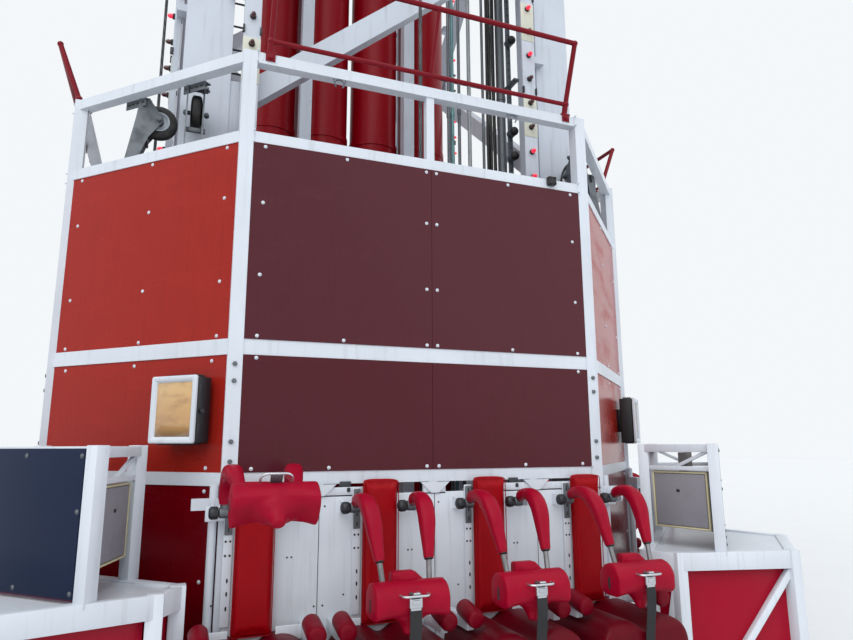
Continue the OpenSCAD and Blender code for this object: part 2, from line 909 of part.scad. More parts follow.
// Guard loop for the fitters on top of one face: a low bar and a bar that leans out above it
module service_rail() {
  y0 = -apothem - 18;
  zt = z_hand + rail / 2;
  low = [0, y0 - 20, zt + loop_low];
  high = [0, y0 - loop_lean, zt + loop_high];
  for (s = [-1, 1]) {
    end = [s * loop_half, 0, 0];
    rod(end + [0, y0, zt + 4], end + low, loop_r + 2);
    rod(end + low, end + high, loop_r);
    translate(end + low) sphere(r = loop_r + 6, $fn = 32);
    translate(end + high) sphere(r = loop_r + 3, $fn = 32);
    box(s * loop_half - 30, s * loop_half + 30, -apothem - rail / 2 - 8, -apothem + rail / 2, zt, zt + 10);
  }
  rod(low - [loop_half, 0, 0], low + [loop_half, 0, 0], loop_r - 2);
  rod(high - [loop_half, 0, 0], high + [loop_half, 0, 0], loop_r);
  rod(low, high, loop_r - 4);
}

module service_rails() {
  color(crimson)
    for (k = [0:3])
      turn(k) service_rail();
}

mast_columns();
mast_bracing_front();
mast_bracing_right();
mast_bracing_back();
mast_bracing_left();
launch_cylinders();
cylinder_rack();
crosshead();
head_frame();
head_sheaves();
hoist_cables();
service_pipes();
light_strips();
corner_stand_frames();
corner_stand_panels();
loudspeakers();
frame_front();
frame_right();
frame_back();
frame_left();
corner_frames();
sign_panels();
corner_panels();
seat_backs_front();
seat_backs_right();
seat_backs_back();
seat_backs_left();
back_pads();
seats_front();
seats_right();
seats_back();
seats_left();
guide_forks();
guide_wheels();
guide_wheel_a();
guide_wheel_b();
guide_wheel_c();
floodlights();
service_rails();
restraint_front_1();
restraint_front_2();
restraint_front_3();
restraint_front_4();
restraints_right();
restraints_back();
restraints_left();
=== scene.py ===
"""Looks of the drop tower ride: finishes, padding, wheels, lamps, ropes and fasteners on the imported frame."""
import json
import logging
import math
from dataclasses import dataclass, field
from enum import Enum
from typing import Callable, Iterable, Sequence

import bmesh
import bpy
import numpy as np
from mathutils import Matrix

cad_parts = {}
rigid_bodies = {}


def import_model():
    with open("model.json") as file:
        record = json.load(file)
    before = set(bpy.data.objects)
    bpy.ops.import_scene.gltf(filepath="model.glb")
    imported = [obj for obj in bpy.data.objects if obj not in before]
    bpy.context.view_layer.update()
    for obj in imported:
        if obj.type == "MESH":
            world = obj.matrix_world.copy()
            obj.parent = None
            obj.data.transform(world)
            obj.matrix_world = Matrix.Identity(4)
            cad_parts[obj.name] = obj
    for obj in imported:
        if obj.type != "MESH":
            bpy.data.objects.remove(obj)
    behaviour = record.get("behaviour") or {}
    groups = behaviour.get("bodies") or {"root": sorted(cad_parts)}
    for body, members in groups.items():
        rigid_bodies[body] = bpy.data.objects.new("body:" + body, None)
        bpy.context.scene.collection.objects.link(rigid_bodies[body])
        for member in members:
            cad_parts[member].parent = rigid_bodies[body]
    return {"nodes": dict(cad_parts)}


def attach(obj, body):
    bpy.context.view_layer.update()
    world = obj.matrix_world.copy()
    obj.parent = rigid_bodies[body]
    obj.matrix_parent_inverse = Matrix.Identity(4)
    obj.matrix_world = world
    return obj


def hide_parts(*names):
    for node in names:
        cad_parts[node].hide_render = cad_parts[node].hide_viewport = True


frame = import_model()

logging.basicConfig(level=logging.INFO, format="%(message)s")
LOG = logging.getLogger("ride")

Array = np.ndarray
Point = Sequence[float]
Color = tuple[float, float, float, float]

ON_AXIS = 1e-5
"""Radius that stands for zero where an outline of revolution meets its axis."""
SOFT = 0.002
"""Usual rounding of small steel pieces."""


class Side(Enum):
    """The four main faces, by quarter turns from the front one."""

    FRONT = 0
    RIGHT = 1
    BACK = 2
    LEFT = 3


class Axis(Enum):
    """Axes of revolution."""

    X = 0
    Y = 1
    Z = 2


# ---- sizes shared by the sub-assemblies, in metres; places are for the front side, at rest


@dataclass(frozen=True)
class Ring:
    """Sizes of the carriage ring that more than one sub-assembly uses."""

    hw: float = 1.0
    corner_c: float = 1.435
    back_face: float = 1.925
    panel_y: float = 1.904
    corner_panel_y: float = 0.024
    z_low: float = 1.45
    z_panel: float = 3.137
    z_hand: float = 3.58
    pitch: float = 0.586
    hinge_y: float = 1.996
    hinge_z: float = 1.315

    def seat_xs(self) -> list[float]:
        """Seat centres along a face."""
        return [self.pitch * i for i in (-1.5, -0.5, 0.5, 1.5)]


@dataclass(frozen=True)
class Mast:
    """Sizes of the mast that more than one sub-assembly uses."""

    half: float = 1.33
    col_in: float = 1.06
    height: float = 11.4
    bay: float = 1.9
    light_x0: float = 0.905
    light_x1: float = 1.005


RING = Ring()
MAST = Mast()


# ---- placing


def turn(side: Side) -> Matrix:
    """Quarter turns about the tower axis."""
    return Matrix.Rotation(side.value * math.pi / 2, 4, "Z")


def corner(side: Side) -> Matrix:
    """Frame at the middle of a corner rail: x along the rail, -y away from the mast."""
    return turn(side) @ Matrix.Translation((-RING.corner_c, -RING.corner_c, 0)) @ Matrix.Rotation(-math.pi / 4, 4, "Z")


def at(x: float, y: float, z: float) -> Matrix:
    """Shift along the axes."""
    return Matrix.Translation((x, y, z))


def spin(angle: float, axis: str) -> Matrix:
    """Rotation by degrees about a named axis."""
    return Matrix.Rotation(math.radians(angle), 4, axis)


TURNS = [turn(side) for side in Side]
CORNERS = [corner(side) for side in Side]
SIDE_NAMES = [side.name.lower() for side in Side]
MIRROR_X = Matrix.Scale(-1, 4, (1, 0, 0))
SAME = Matrix.Identity(4)


# ---- surfaces as arrays


@dataclass
class Shell:
    """A surface: points and four-cornered faces, where a triangle repeats its last corner.

    Attributes:
        points: n by 3 positions.
        quads: m by 4 point numbers.
        tint: one number per point, free for the finish to use.
    """

    points: Array
    quads: Array
    tint: Array = field(default_factory=lambda: np.zeros(0))

    def __post_init__(self) -> None:
        """Fills in a zero tint."""
        if len(self.tint) != len(self.points):
            self.tint = np.zeros(len(self.points))

    def moved(self, m: Matrix) -> "Shell":
        """Copy under a matrix; faces turn over under a mirror."""
        a = np.array(m)
        quads = self.quads if np.linalg.det(a[:3, :3]) > 0 else self.quads[:, ::-1]
        return Shell(self.points @ a[:3, :3].T + a[:3, 3], quads, self.tint)


def join(shells: Iterable[Shell]) -> Shell:
    """Shells as one.

    Args:
        shells: surfaces to put side by side.

    Returns:
        One shell with every face renumbered by the points before it.
    """
    parts = list(shells)
    starts = np.cumsum([0] + [len(s.points) for s in parts[:-1]])
    return Shell(
        np.concatenate([s.points for s in parts]),
        np.concatenate([s.quads + n for s, n in zip(parts, starts)]),
        np.concatenate([s.tint for s in parts]),
    )


def copies(shell: Shell, places: Sequence[Matrix]) -> Shell:
    """The same surface at many places."""
    return join(shell.moved(m) for m in places)


def spread(frames: Sequence[Matrix], points: Iterable[Point]) -> list[Matrix]:
    """Every point in every frame, frame by frame."""
    spots = list(points)
    return [m @ at(*p) for m in frames for p in spots]


def grid(points: Array, wrap_u: bool = False, wrap_v: bool = False) -> Shell:
    """Faces over an array of points.

    Args:
        points: rows by columns by 3.
        wrap_u: joins the last row to the first.
        wrap_v: joins the last column to the first.

    Returns:
        Each face takes the corners (i, j), (i+1, j), (i+1, j+1), (i, j+1).
    """
    nu, nv = points.shape[:2]
    i, j = np.meshgrid(np.arange(nu if wrap_u else nu - 1), np.arange(nv if wrap_v else nv - 1), indexing="ij")
    i2, j2 = (i + 1) % nu, (j + 1) % nv
    quads = np.stack([i * nv + j, i2 * nv + j, i2 * nv + j2, i * nv + j2], -1).reshape(-1, 4)
    return Shell(points.reshape(-1, 3), quads)


def fan(loop: Array, rings: int = 1) -> Shell:
    """Cap of a closed loop: loops shrunk evenly to its middle.

    Args:
        loop: n by 3 points.
        rings: loops between the rim and the middle.

    Returns:
        Ring k of the cap is middle + (loop - middle) * (1 - k / rings).
    """
    mid = loop.mean(0)
    f = 1 - np.linspace(0, 1, rings + 1)
    return grid(mid + (loop - mid) * f[:, None, None], wrap_v=True)


def around(sides: int) -> Array:
    """Even angles round a ring."""
    return np.linspace(0, 2 * math.pi, sides, endpoint=False)


def lengths(path: Array) -> Array:
    """Distance along a path at each of its points."""
    return np.concatenate([[0], np.cumsum(np.linalg.norm(np.diff(path, axis=0), axis=1))])


def across(path: Array, up: Point, closed: bool = False) -> tuple[Array, Array]:
    """Unit side and normal at each point of a path: side = (tangent x up) x tangent, normal = tangent x side."""
    step = np.roll(path, -1, 0) - np.roll(path, 1, 0) if closed else np.gradient(path, axis=0)
    t = step / np.linalg.norm(step, axis=1, keepdims=True)
    side = np.cross(np.cross(t, np.asarray(up, float)), t)
    side /= np.linalg.norm(side, axis=1, keepdims=True)
    return side, np.cross(t, side)


def tube(path: Array, radius: Array | float, sides: int = 20, squash: float = 1.0, up: Point = (1.0, 0.0, 0.0),
         closed: bool = False) -> Shell:
    """Round bar along a path, with capped ends.

    Args:
        path: n by 3 points.
        radius: one radius, or one for each point.
        sides: corners of a ring.
        squash: ring height over its width.
        up: a direction that the path never follows; ring widths lie along it.
        closed: the path ends where it starts.

    Returns:
        Ring point = path + r (cos a * side + squash * sin a * normal), with normal = tangent x side.
    """
    path = np.asarray(path, float)
    side, normal = across(path, up, closed)
    a = around(sides)
    r = np.broadcast_to(np.asarray(radius, float), (len(path),))[:, None, None]
    wide, high = np.cos(a)[None, :, None], squash * np.sin(a)[None, :, None]
    ring = path[:, None] + r * (wide * side[:, None] + high * normal[:, None])
    body = grid(ring, wrap_u=closed, wrap_v=True)
    return body if closed else join([body, fan(ring[0]), fan(ring[-1][::-1])])


def lathe(profile: Sequence[tuple[float, float]], sides: int = 32, axis: Axis = Axis.Z) -> Shell:
    """Surface of revolution.

    Args:
        profile: (radius, height) pairs along the outline.
        sides: steps round the axis.
        axis: axis of revolution.

    Returns:
        Point = (r cos a, r sin a, h), with its coordinates cycled so that h lies along the axis.
    """
    p = np.asarray(profile, float)
    a = around(sides)
    pts = np.stack([p[:, :1] * np.cos(a), p[:, :1] * np.sin(a), np.repeat(p[:, 1:], sides, 1)], -1)
    return grid(np.roll(pts, axis.value + 1, -1), wrap_v=True)


def stud(profile: Sequence[tuple[float, float]], sides: int) -> Shell:
    """Turned part that points along -y, such as a bolt head."""
    return lathe(profile, sides).moved(spin(90, "X"))


def arc(radius: float, start: float, end: float, steps: int, centre: tuple[float, float] = (0.0, 0.0)) -> Array:
    """Points centre + r (cos a, sin a) for a from start to end degrees."""
    a = np.radians(np.linspace(start, end, steps))
    return np.stack([centre[0] + radius * np.cos(a), centre[1] + radius * np.sin(a)], -1)


def upright(x: float, y: float, z0: float, z1: float, steps: int, radius: float, sides: int = 20,
            up: Point = (0.0, 1.0, 0.0)) -> Shell:
    """Straight round bar from z0 up to z1."""
    return tube(np.array([(x, y, z) for z in np.linspace(z0, z1, steps)]), radius, sides, up=up)


def block(size: Point, radius: float, steps: int = 3) -> Shell:
    """Block with rounded edges round the origin.

    Args:
        size: full lengths.
        radius: rounding.
        steps: faces over a rounding.

    Returns:
        Points of a plain cube surface, each pulled to inner + radius * unit(point - inner),
        where inner is the point held inside the block shrunk by the radius.
    """
    h = np.asarray(size, float) / 2
    r = min(radius, h.min() * 0.999)
    ramp = r * (1 - np.tan(np.linspace(math.pi / 4, 0, steps + 1)))

    def line(k: int) -> Array:
        """Sample positions along one axis."""
        return np.concatenate([-h[k] + ramp, h[k] - ramp[::-1]])

    shells = []
    for k in range(3):
        i, j = (k + 1) % 3, (k + 2) % 3
        u, v = np.meshgrid(line(i), line(j), indexing="ij")
        for s in (-1, 1):
            p = np.zeros(u.shape + (3,))
            p[..., i], p[..., j], p[..., k] = u, v, s * h[k]
            if s < 0:
                p = p[::-1]
            inner = np.clip(p, -(h - r), h - r)
            d = p - inner
            shells.append(grid(inner + r * d / np.maximum(np.linalg.norm(d, axis=-1, keepdims=True), 1e-9)))
    return join(shells)


def box(size: Point, place: Point, radius: float = SOFT, steps: int = 1) -> Shell:
    """Block with rounded edges, its centre at a place."""
    return block(size, radius, steps).moved(at(*place))


def rounded(width: float, height: float, radius: float, steps: int, y: float = 0.0) -> Array:
    """Closed loop in the plane y round a rectangle with half sizes width and height, by an arc at each corner."""
    loop = np.concatenate([arc(radius, a, a + 90, steps, (sx * (width - radius), sz * (height - radius)))
                           for a, sx, sz in ((0, 1, 1), (90, -1, 1), (180, -1, -1), (270, 1, -1))])
    return np.stack([loop[:, 0], np.full(len(loop), y), loop[:, 1]], -1)


def capped(rings: Array) -> Shell:
    """Skin over closed rings, with a cap at both ends."""
    return join([grid(rings, wrap_v=True), fan(rings[0]), fan(rings[-1][::-1])])


def prism(outline: Sequence[tuple[float, float]] | Array, depth: float) -> Shell:
    """Flat outline made solid along y, from 0 to -depth, with its points as (x, z)."""
    p = np.asarray(outline, float)
    rings = np.stack([np.stack([p[:, 0], np.full(len(p), y), p[:, 1]], -1) for y in (0.0, -depth)])
    return capped(rings)


def smoothed(points: Array, rounds: int, wrap_v: bool = True) -> Array:
    """Averages each grid point with its four neighbours; the end rows stay."""
    for _ in range(rounds):
        v = (np.roll(points, 1, 1) + np.roll(points, -1, 1)) / 2 if wrap_v else points
        u = points.copy()
        u[1:-1] = (points[2:] + points[:-2]) / 2
        new = 0.5 * points + 0.25 * u + 0.25 * v
        new[0], new[-1] = points[0] * 0.5 + v[0] * 0.5, points[-1] * 0.5 + v[-1] * 0.5
        points = new
    return points


# ---- materials


class Socket:
    """A shader output with arithmetic."""

    def __init__(self, graph: "Graph", out: bpy.types.NodeSocket) -> None:
        """Keeps the output and its graph."""
        self.graph, self.out = graph, out

    def _math(self, op: str, a: "Socket | float", b: "Socket | float" = 0.0) -> "Socket":
        """One Math node."""
        return Socket(self.graph, self.graph.node("ShaderNodeMath", {"operation": op}, {0: a, 1: b}).outputs[0])

    def __add__(self, o: "Socket | float") -> "Socket":
        """Sum."""
        return self._math("ADD", self, o)

    def __radd__(self, o: float) -> "Socket":
        """Sum, reflected."""
        return self._math("ADD", o, self)

    def __sub__(self, o: "Socket | float") -> "Socket":
        """Difference."""
        return self._math("SUBTRACT", self, o)

    def __rsub__(self, o: float) -> "Socket":
        """Difference, reflected."""
        return self._math("SUBTRACT", o, self)

    def __mul__(self, o: "Socket | float") -> "Socket":
        """Product."""
        return self._math("MULTIPLY", self, o)

    def sine(self) -> "Socket":
        """Sine."""
        return self._math("SINE", self)

    def larger(self, o: "Socket | float") -> "Socket":
        """The larger of two."""
        return self._math("MAXIMUM", self, o)

    def ramp(self, lo: float, hi: float) -> "Socket":
        """0 below lo, 1 above hi, smooth between."""
        n = self.graph.node("ShaderNodeMapRange", {"interpolation_type": "SMOOTHSTEP"},
                            {"Value": self, "From Min": lo, "From Max": hi, "To Min": 0.0, "To Max": 1.0})
        return Socket(self.graph, n.outputs["Result"])


class Graph:
    """Node tree of one material."""

    def __init__(self, tree: bpy.types.NodeTree) -> None:
        """Starts from an empty tree."""
        self.tree = tree
        tree.nodes.clear()

    def node(self, kind: str, settings: dict[str, object] | None = None,
             inputs: dict[str | int, object] | None = None) -> bpy.types.Node:
        """Makes any node.

        Args:
            kind: node type name.
            settings: node properties, set first.
            inputs: values or sockets by input name or number.

        Returns:
            The node.
        """
        n = self.tree.nodes.new(kind)
        for key, value in (settings or {}).items():
            setattr(n, key, value)
        for key, value in (inputs or {}).items():
            if isinstance(value, Socket):
                self.tree.links.new(value.out, n.inputs[key])
            elif isinstance(value, bpy.types.NodeSocket):
                self.tree.links.new(value, n.inputs[key])
            else:
                n.inputs[key].default_value = value
        return n

    def coords(self) -> Socket:
        """Object coordinates."""
        return Socket(self, self.node("ShaderNodeTexCoord").outputs["Object"])

    def xyz(self) -> tuple[Socket, Socket, Socket]:
        """The three object coordinates."""
        n = self.node("ShaderNodeSeparateXYZ", inputs={0: self.coords()})
        return Socket(self, n.outputs[0]), Socket(self, n.outputs[1]), Socket(self, n.outputs[2])

    def attribute(self, name: str) -> Socket:
        """A number kept on the points."""
        return Socket(self, self.node("ShaderNodeAttribute", {"attribute_name": name}).outputs["Fac"])

    def noise(self, scale: float, detail: float = 4.0, stretch: Point = (1.0, 1.0, 1.0), rough: float = 0.55) -> Socket:
        """Noise in object space, stretched by a factor on each axis."""
        m = self.node("ShaderNodeMapping", inputs={0: self.coords(), 3: tuple(stretch)})
        n = self.node("ShaderNodeTexNoise",
                      inputs={"Vector": m.outputs[0], "Scale": scale, "Detail": detail, "Roughness": rough})
        return Socket(self, n.outputs[0])

    def cells(self, scale: float, stretch: Point = (1.0, 1.0, 1.0)) -> Socket:
        """Distance to the nearest cell point."""
        m = self.node("ShaderNodeMapping", inputs={0: self.coords(), 3: tuple(stretch)})
        n = self.node("ShaderNodeTexVoronoi", inputs={"Vector": m.outputs[0], "Scale": scale})
        return Socket(self, n.outputs["Distance"])

    def mix(self, fac: Socket | float, a: object, b: object) -> Socket:
        """Colour a where the factor is 0, b where it is 1."""
        n = self.node("ShaderNodeMix", {"data_type": "RGBA"}, {0: fac, 6: a, 7: b})
        return Socket(self, n.outputs[2])

    def bump(self, height: Socket, strength: float, distance: float) -> Socket:
        """Normal from a height."""
        n = self.node("ShaderNodeBump", inputs={"Strength": strength, "Distance": distance, "Height": height})
        return Socket(self, n.outputs[0])

    def close(self, **inputs: object) -> None:
        """Principled shader with these inputs, to the output."""
        names = {k.replace("_", " "): v for k, v in inputs.items()}
        bsdf = self.node("ShaderNodeBsdfPrincipled", inputs=names)
        self.node("ShaderNodeOutputMaterial", inputs={0: bsdf.outputs[0]})


def rgb(r: float, g: float, b: float) -> Color:
    """Screen colour 0 to 255 as a linear one: c / 12.92 below 0.04045, else ((c + 0.055) / 1.055) ** 2.4."""
    v = [c / 255 for c in (r, g, b)]
    lin = [c / 12.92 if c <= 0.04045 else ((c + 0.055) / 1.055) ** 2.4 for c in v]
    return (lin[0], lin[1], lin[2], 1.0)


def shade(c: Color, k: float) -> Color:
    """Colour times a factor."""
    return (min(1.0, c[0] * k), min(1.0, c[1] * k), min(1.0, c[2] * k), 1.0)


@dataclass(frozen=True)
class Finish:
    """A surface finish and the code that draws it.

    Attributes:
        name: material name.
        color: its main colour.
        slot: record slot that pieces in this finish usually take; not used.
    """

    name: str
    color: Color
    slot: str = ""

    def draw(self, g: Graph) -> None:
        """Fills the graph; each kind of finish has its own."""
        raise NotImplementedError

    def make(self) -> bpy.types.Material:
        """The material, made once."""
        found = bpy.data.materials.get(self.name)
        if found is not None and found.get("ready"):
            return found
        m = bpy.data.materials.new(self.name)
        m.use_nodes = True
        self.draw(Graph(m.node_tree))
        m.diffuse_color = self.color
        m["ready"] = True
        return m


@dataclass(frozen=True)
class FramePaint(Finish):
    """Brushed-on gloss paint over steel: mottling, run-down streaks, chips that show primer and rust."""

    grime: Color = rgb(120, 120, 122)
    chip: Color = rgb(96, 74, 60)
    wear: float = 0.5
    shine: float = 0.36
    coat: float = 0.10

    def draw(self, g: Graph) -> None:
        """Colour falls to grime under streaks, chips lie where fine noise peaks."""
        broad = g.noise(2.2, 5.0)
        streak = g.noise(9.0, 6.0, (3.2, 3.2, 0.22)).ramp(0.52, 0.78)
        spots = g.noise(34.0, 8.0, rough=0.7).ramp(0.665, 0.70) * g.noise(3.1, 2.0).ramp(0.5, 0.62)
        base = g.mix(broad.ramp(0.3, 0.75) * 0.45, self.color, shade(self.color, 0.80))
        base = g.mix(streak * (0.42 * self.wear), base, self.grime)
        base = g.mix(spots * self.wear, base, self.chip)
        peel = g.noise(230.0, 2.0) * 0.25 + g.noise(24.0, 3.0, (1.0, 1.0, 0.35)) * 0.75 - spots * 0.8
        g.close(Base_Color=base, Roughness=0.30 + broad * 0.16 + spots * 0.3, Specular_IOR_Level=self.shine,
                Coat_Weight=self.coat, Coat_Roughness=0.2, Normal=g.bump(peel, 0.35, 0.0012))


@dataclass(frozen=True)
class Panel(Finish):
    """Coated sheet: faint vertical brushing, slow waves in the sheet, a second colour below a height."""

    lower: Color | None = None
    split: float = 0.0
    gloss: float = 0.24
    brush: float = 0.22

    def draw(self, g: Graph) -> None:
        """Brushing is noise pulled out along z; wipe marks are noise pulled out across it."""
        z = g.xyz()[2]
        brush = g.noise(16.0, 7.0, (5.0, 5.0, 0.28))
        wipe = g.noise(3.2, 4.0, (0.8, 0.8, 2.6)).ramp(0.45, 0.75)
        low = self.lower or self.color
        below = 1.0 - z.ramp(self.split - 0.012, self.split + 0.012)
        base = g.mix(below, self.color, low)
        dark = g.mix(below, shade(self.color, 0.78), shade(low, 0.72))
        pale = g.mix(below, shade(self.color, 1.18), shade(low, 1.1))
        base = g.mix(brush.ramp(0.45, 0.72) * self.brush * 2, base, dark)
        base = g.mix(wipe * self.brush, base, pale)
        dust = g.noise(140.0, 3.0).ramp(0.68, 0.76) * 0.10
        base = g.mix(dust, base, rgb(170, 160, 155))
        height = g.noise(2.6, 2.0, (1.0, 1.0, 0.5)) * 0.9 + brush * 0.1
        g.close(Base_Color=base, Roughness=self.gloss + wipe * 0.14 + dust * 0.4, Coat_Weight=0.05, Coat_Roughness=0.08,
                Specular_IOR_Level=0.16, Normal=g.bump(height, 0.25, 0.006))


@dataclass(frozen=True)
class Vinyl(Finish):
    """Self-skinned foam: leather grain, rubbed places that shine, faint pale scuffs."""

    grain: float = 300.0

    def draw(self, g: Graph) -> None:
        """Grain is cells; rubbed places are slow noise that lightens and smooths."""
        rub = g.noise(5.5, 4.0).ramp(0.42, 0.70)
        blot = g.noise(18.0, 5.0).ramp(0.35, 0.8)
        scuff = g.noise(60.0, 6.0, (1.0, 4.0, 1.0), 0.7).ramp(0.66, 0.74)
        base = g.mix(blot * 0.5, self.color, shade(self.color, 0.74))
        base = g.mix(rub * 0.35, base, shade(self.color, 1.15))
        base = g.mix(scuff * 0.10, base, rgb(205, 70, 95))
        skin = g.cells(self.grain) * 0.6 + g.noise(90.0, 3.0) * 0.4
        g.close(Base_Color=base, Roughness=0.50 - rub * 0.14 + scuff * 0.1, Specular_IOR_Level=0.13, Coat_Weight=0.02,
                Coat_Roughness=0.25, Normal=g.bump(skin, 0.22, 0.0007))


@dataclass(frozen=True)
class Steel(Finish):
    """Bare or plated steel with drawn lines, water marks and oily patches."""

    rough: float = 0.38
    lines: Point = (1.0, 1.0, 14.0)
    dirt: float = 0.35

    def draw(self, g: Graph) -> None:
        """Drawn lines are noise pulled out across an axis; dirt darkens and dulls."""
        draw_lines = g.noise(60.0, 3.0, self.lines)
        patch = g.noise(14.0, 5.0).ramp(0.45, 0.72)
        base = g.mix(patch * self.dirt, self.color, shade(self.color, 0.4))
        base = g.mix(draw_lines * 0.25, base, shade(self.color, 1.25))
        g.close(Base_Color=base, Metallic=0.9 - patch * 0.35, Roughness=self.rough + patch * 0.25,
                Normal=g.bump(draw_lines, 0.2, 0.0006))


@dataclass(frozen=True)
class Rubber(Finish):
    """Black tyre with a dusty, worn tread."""

    def draw(self, g: Graph) -> None:
        """Dust lies where noise is high."""
        dust = g.noise(26.0, 5.0).ramp(0.4, 0.75)
        fine = g.noise(260.0, 2.0)
        base = g.mix(dust * 0.4, self.color, rgb(92, 88, 84))
        g.close(Base_Color=base, Roughness=0.62 + dust * 0.25, Normal=g.bump(fine, 0.3, 0.0006))


@dataclass(frozen=True)
class Rope(Finish):
    """Laid wire rope: strands as a wave that climbs as it goes round, with painted shade in the grooves between them.
    """

    def draw(self, g: Graph) -> None:
        """Strand height = sine of (along + around); around and along are kept on the points."""
        lay = g.attribute("tint").sine()
        grease = g.noise(7.0, 4.0).ramp(0.4, 0.7)
        # painted shade: the grooves between the strands are darkened towards 0.3 of the colour
        base = g.mix(lay.ramp(-0.9, 0.4), shade(self.color, 0.3), self.color)
        base = g.mix(grease * 0.5, base, rgb(30, 27, 24))
        g.close(Base_Color=base, Metallic=0.7, Roughness=0.42 + grease * 0.2, Normal=g.bump(lay, 0.7, 0.0016))


@dataclass(frozen=True)
class Lens(Finish):
    """Front glass of a lamp with the warm reflector behind it, darker at its foot."""

    z0: float = 1.6
    z1: float = 1.93

    def draw(self, g: Graph) -> None:
        """Colour runs from a dark foot to a warm top, with faint flutes."""
        z = g.xyz()[2]
        flute = g.noise(44.0, 2.0, (1.0, 1.0, 0.1))
        cloud = g.noise(9.0, 4.0, (1.0, 1.0, 2.5))
        base = g.mix(z.ramp(self.z0, self.z0 + 0.11), rgb(58, 66, 74), rgb(196, 150, 92))
        base = g.mix(z.ramp(self.z0 + 0.12, self.z1) * 0.8, base, rgb(214, 178, 122))
        base = g.mix(cloud.ramp(0.45, 0.7) * 0.5, base, rgb(150, 104, 66))
        g.close(Base_Color=base, Roughness=0.10 + flute * 0.06, Coat_Weight=0.9, Coat_Roughness=0.03,
                Specular_IOR_Level=0.6, Normal=g.bump(flute, 0.12, 0.002))


@dataclass(frozen=True)
class Bulb(Finish):
    """Coloured cap lamp, lit or not."""

    glow: float = 0.0

    def draw(self, g: Graph) -> None:
        """Swirls in the plastic; the light is even."""
        swirl = g.noise(120.0, 3.0)
        base = g.mix(swirl * 0.6, self.color, shade(self.color, 0.6))
        g.close(Base_Color=base, Roughness=0.14 + swirl * 0.12, Coat_Weight=0.6, Coat_Roughness=0.05,
                Emission_Color=base, Emission_Strength=self.glow)


@dataclass(frozen=True)
class Cloth(Finish):
    """Perforated speaker front under a thin coat, or a woven strap."""

    scale: float = 420.0
    hole: float = 0.35

    def draw(self, g: Graph) -> None:
        """Rows of dimples: the product of two sines along the face and up it; the dimples are darkened as painted
        shade.
        """
        x, y, z = g.xyz()
        dots = ((x + y) * self.scale).sine() * (z * self.scale).sine()
        spot = dots.ramp(self.hole, self.hole + 0.25)
        stain = g.noise(8.0, 5.0).ramp(0.4, 0.75)
        # painted shade: the dimples are darkened towards 0.55 of the colour
        base = g.mix(spot * 0.30, self.color, shade(self.color, 0.55))
        base = g.mix(stain * 0.3, base, shade(self.color, 0.72))
        g.close(Base_Color=base, Roughness=0.62 + stain * 0.2, Normal=g.bump(1.0 - spot, 0.35, 0.0012))


@dataclass(frozen=True)
class Pipes(Finish):
    """Pipe run: each pipe has its own paint, chosen by its place across the run, over one metal look."""

    def draw(self, g: Graph) -> None:
        """Bands across x: teal for the second pipe, pale for the fourth, grey for the rest."""
        x = g.xyz()[0]
        drip = g.noise(30.0, 5.0, (1.0, 1.0, 0.2)).ramp(0.5, 0.75)
        base = g.mix(x.ramp(0.562, 0.563) * (1.0 - x.ramp(0.598, 0.599)), self.color, rgb(96, 140, 142))
        base = g.mix(x.ramp(0.700, 0.701) * (1.0 - x.ramp(0.740, 0.741)), base, rgb(150, 155, 158))
        base = g.mix(drip * 0.35, base, rgb(48, 46, 44))
        g.close(Base_Color=base, Roughness=0.42 + drip * 0.25, Metallic=0.15, Normal=g.bump(drip, 0.3, 0.001))


WHITE = FramePaint("frame_white", rgb(212, 219, 228), "white_paint")
MAST_WHITE = FramePaint("mast_white", rgb(196, 203, 214), "white_paint", wear=0.7)
CRIMSON = FramePaint("cylinder_crimson", rgb(140, 0, 18), "crimson_paint",
                     grime=rgb(70, 6, 16), chip=rgb(60, 8, 12), wear=0.35, shine=0.14, coat=0.03)
RAIL_RED = FramePaint("service_rail_red", rgb(122, 16, 30), "service_rail_paint",
                      grime=rgb(60, 20, 26), chip=rgb(150, 140, 135), wear=0.7, shine=0.14, coat=0.03)
MAROON = Panel("sign_panel_maroon", rgb(80, 34, 42), lower=rgb(78, 28, 36), split=2.06, gloss=0.2, brush=0.10)
ORANGE = Panel("corner_panel_red", rgb(152, 34, 25), lower=rgb(104, 0, 12), split=1.45, gloss=0.22, brush=0.24)
STAND_PANEL = Panel("stand_panel_red", rgb(20, 32, 58), "deep_red_panel",
                    lower=rgb(152, 0, 34), split=1.042, gloss=0.3, brush=0.08)
PAD_RED = Vinyl("restraint_vinyl", rgb(150, 0, 36), "red_vinyl")
BACK_RED = Vinyl("back_pad_vinyl", rgb(150, 0, 14), "red_vinyl", grain=380.0)
SEAT_RED = Vinyl("seat_vinyl", rgb(92, 0, 18), "seat_vinyl")
BOLSTER_RED = Vinyl("bolster_vinyl", rgb(118, 0, 26), "seat_vinyl")
GREY_STEEL = Steel("grey_steel", rgb(104, 109, 114), "grey_steel", rough=0.5)
DARK_STEEL = Steel("dark_steel", rgb(66, 68, 72), "grey_steel", rough=0.5, dirt=0.5)
BAR_STEEL = Steel("bar_steel", rgb(128, 128, 130), "grey_steel", rough=0.52, lines=(1.0, 1.0, 4.0), dirt=0.3)
CHROME = Steel("chrome", rgb(190, 193, 198), "grey_steel", rough=0.22, lines=(1.0, 1.0, 1.0), dirt=0.25)
TYRE = Rubber("tyre_rubber", rgb(24, 24, 26), "wheel_rubber")
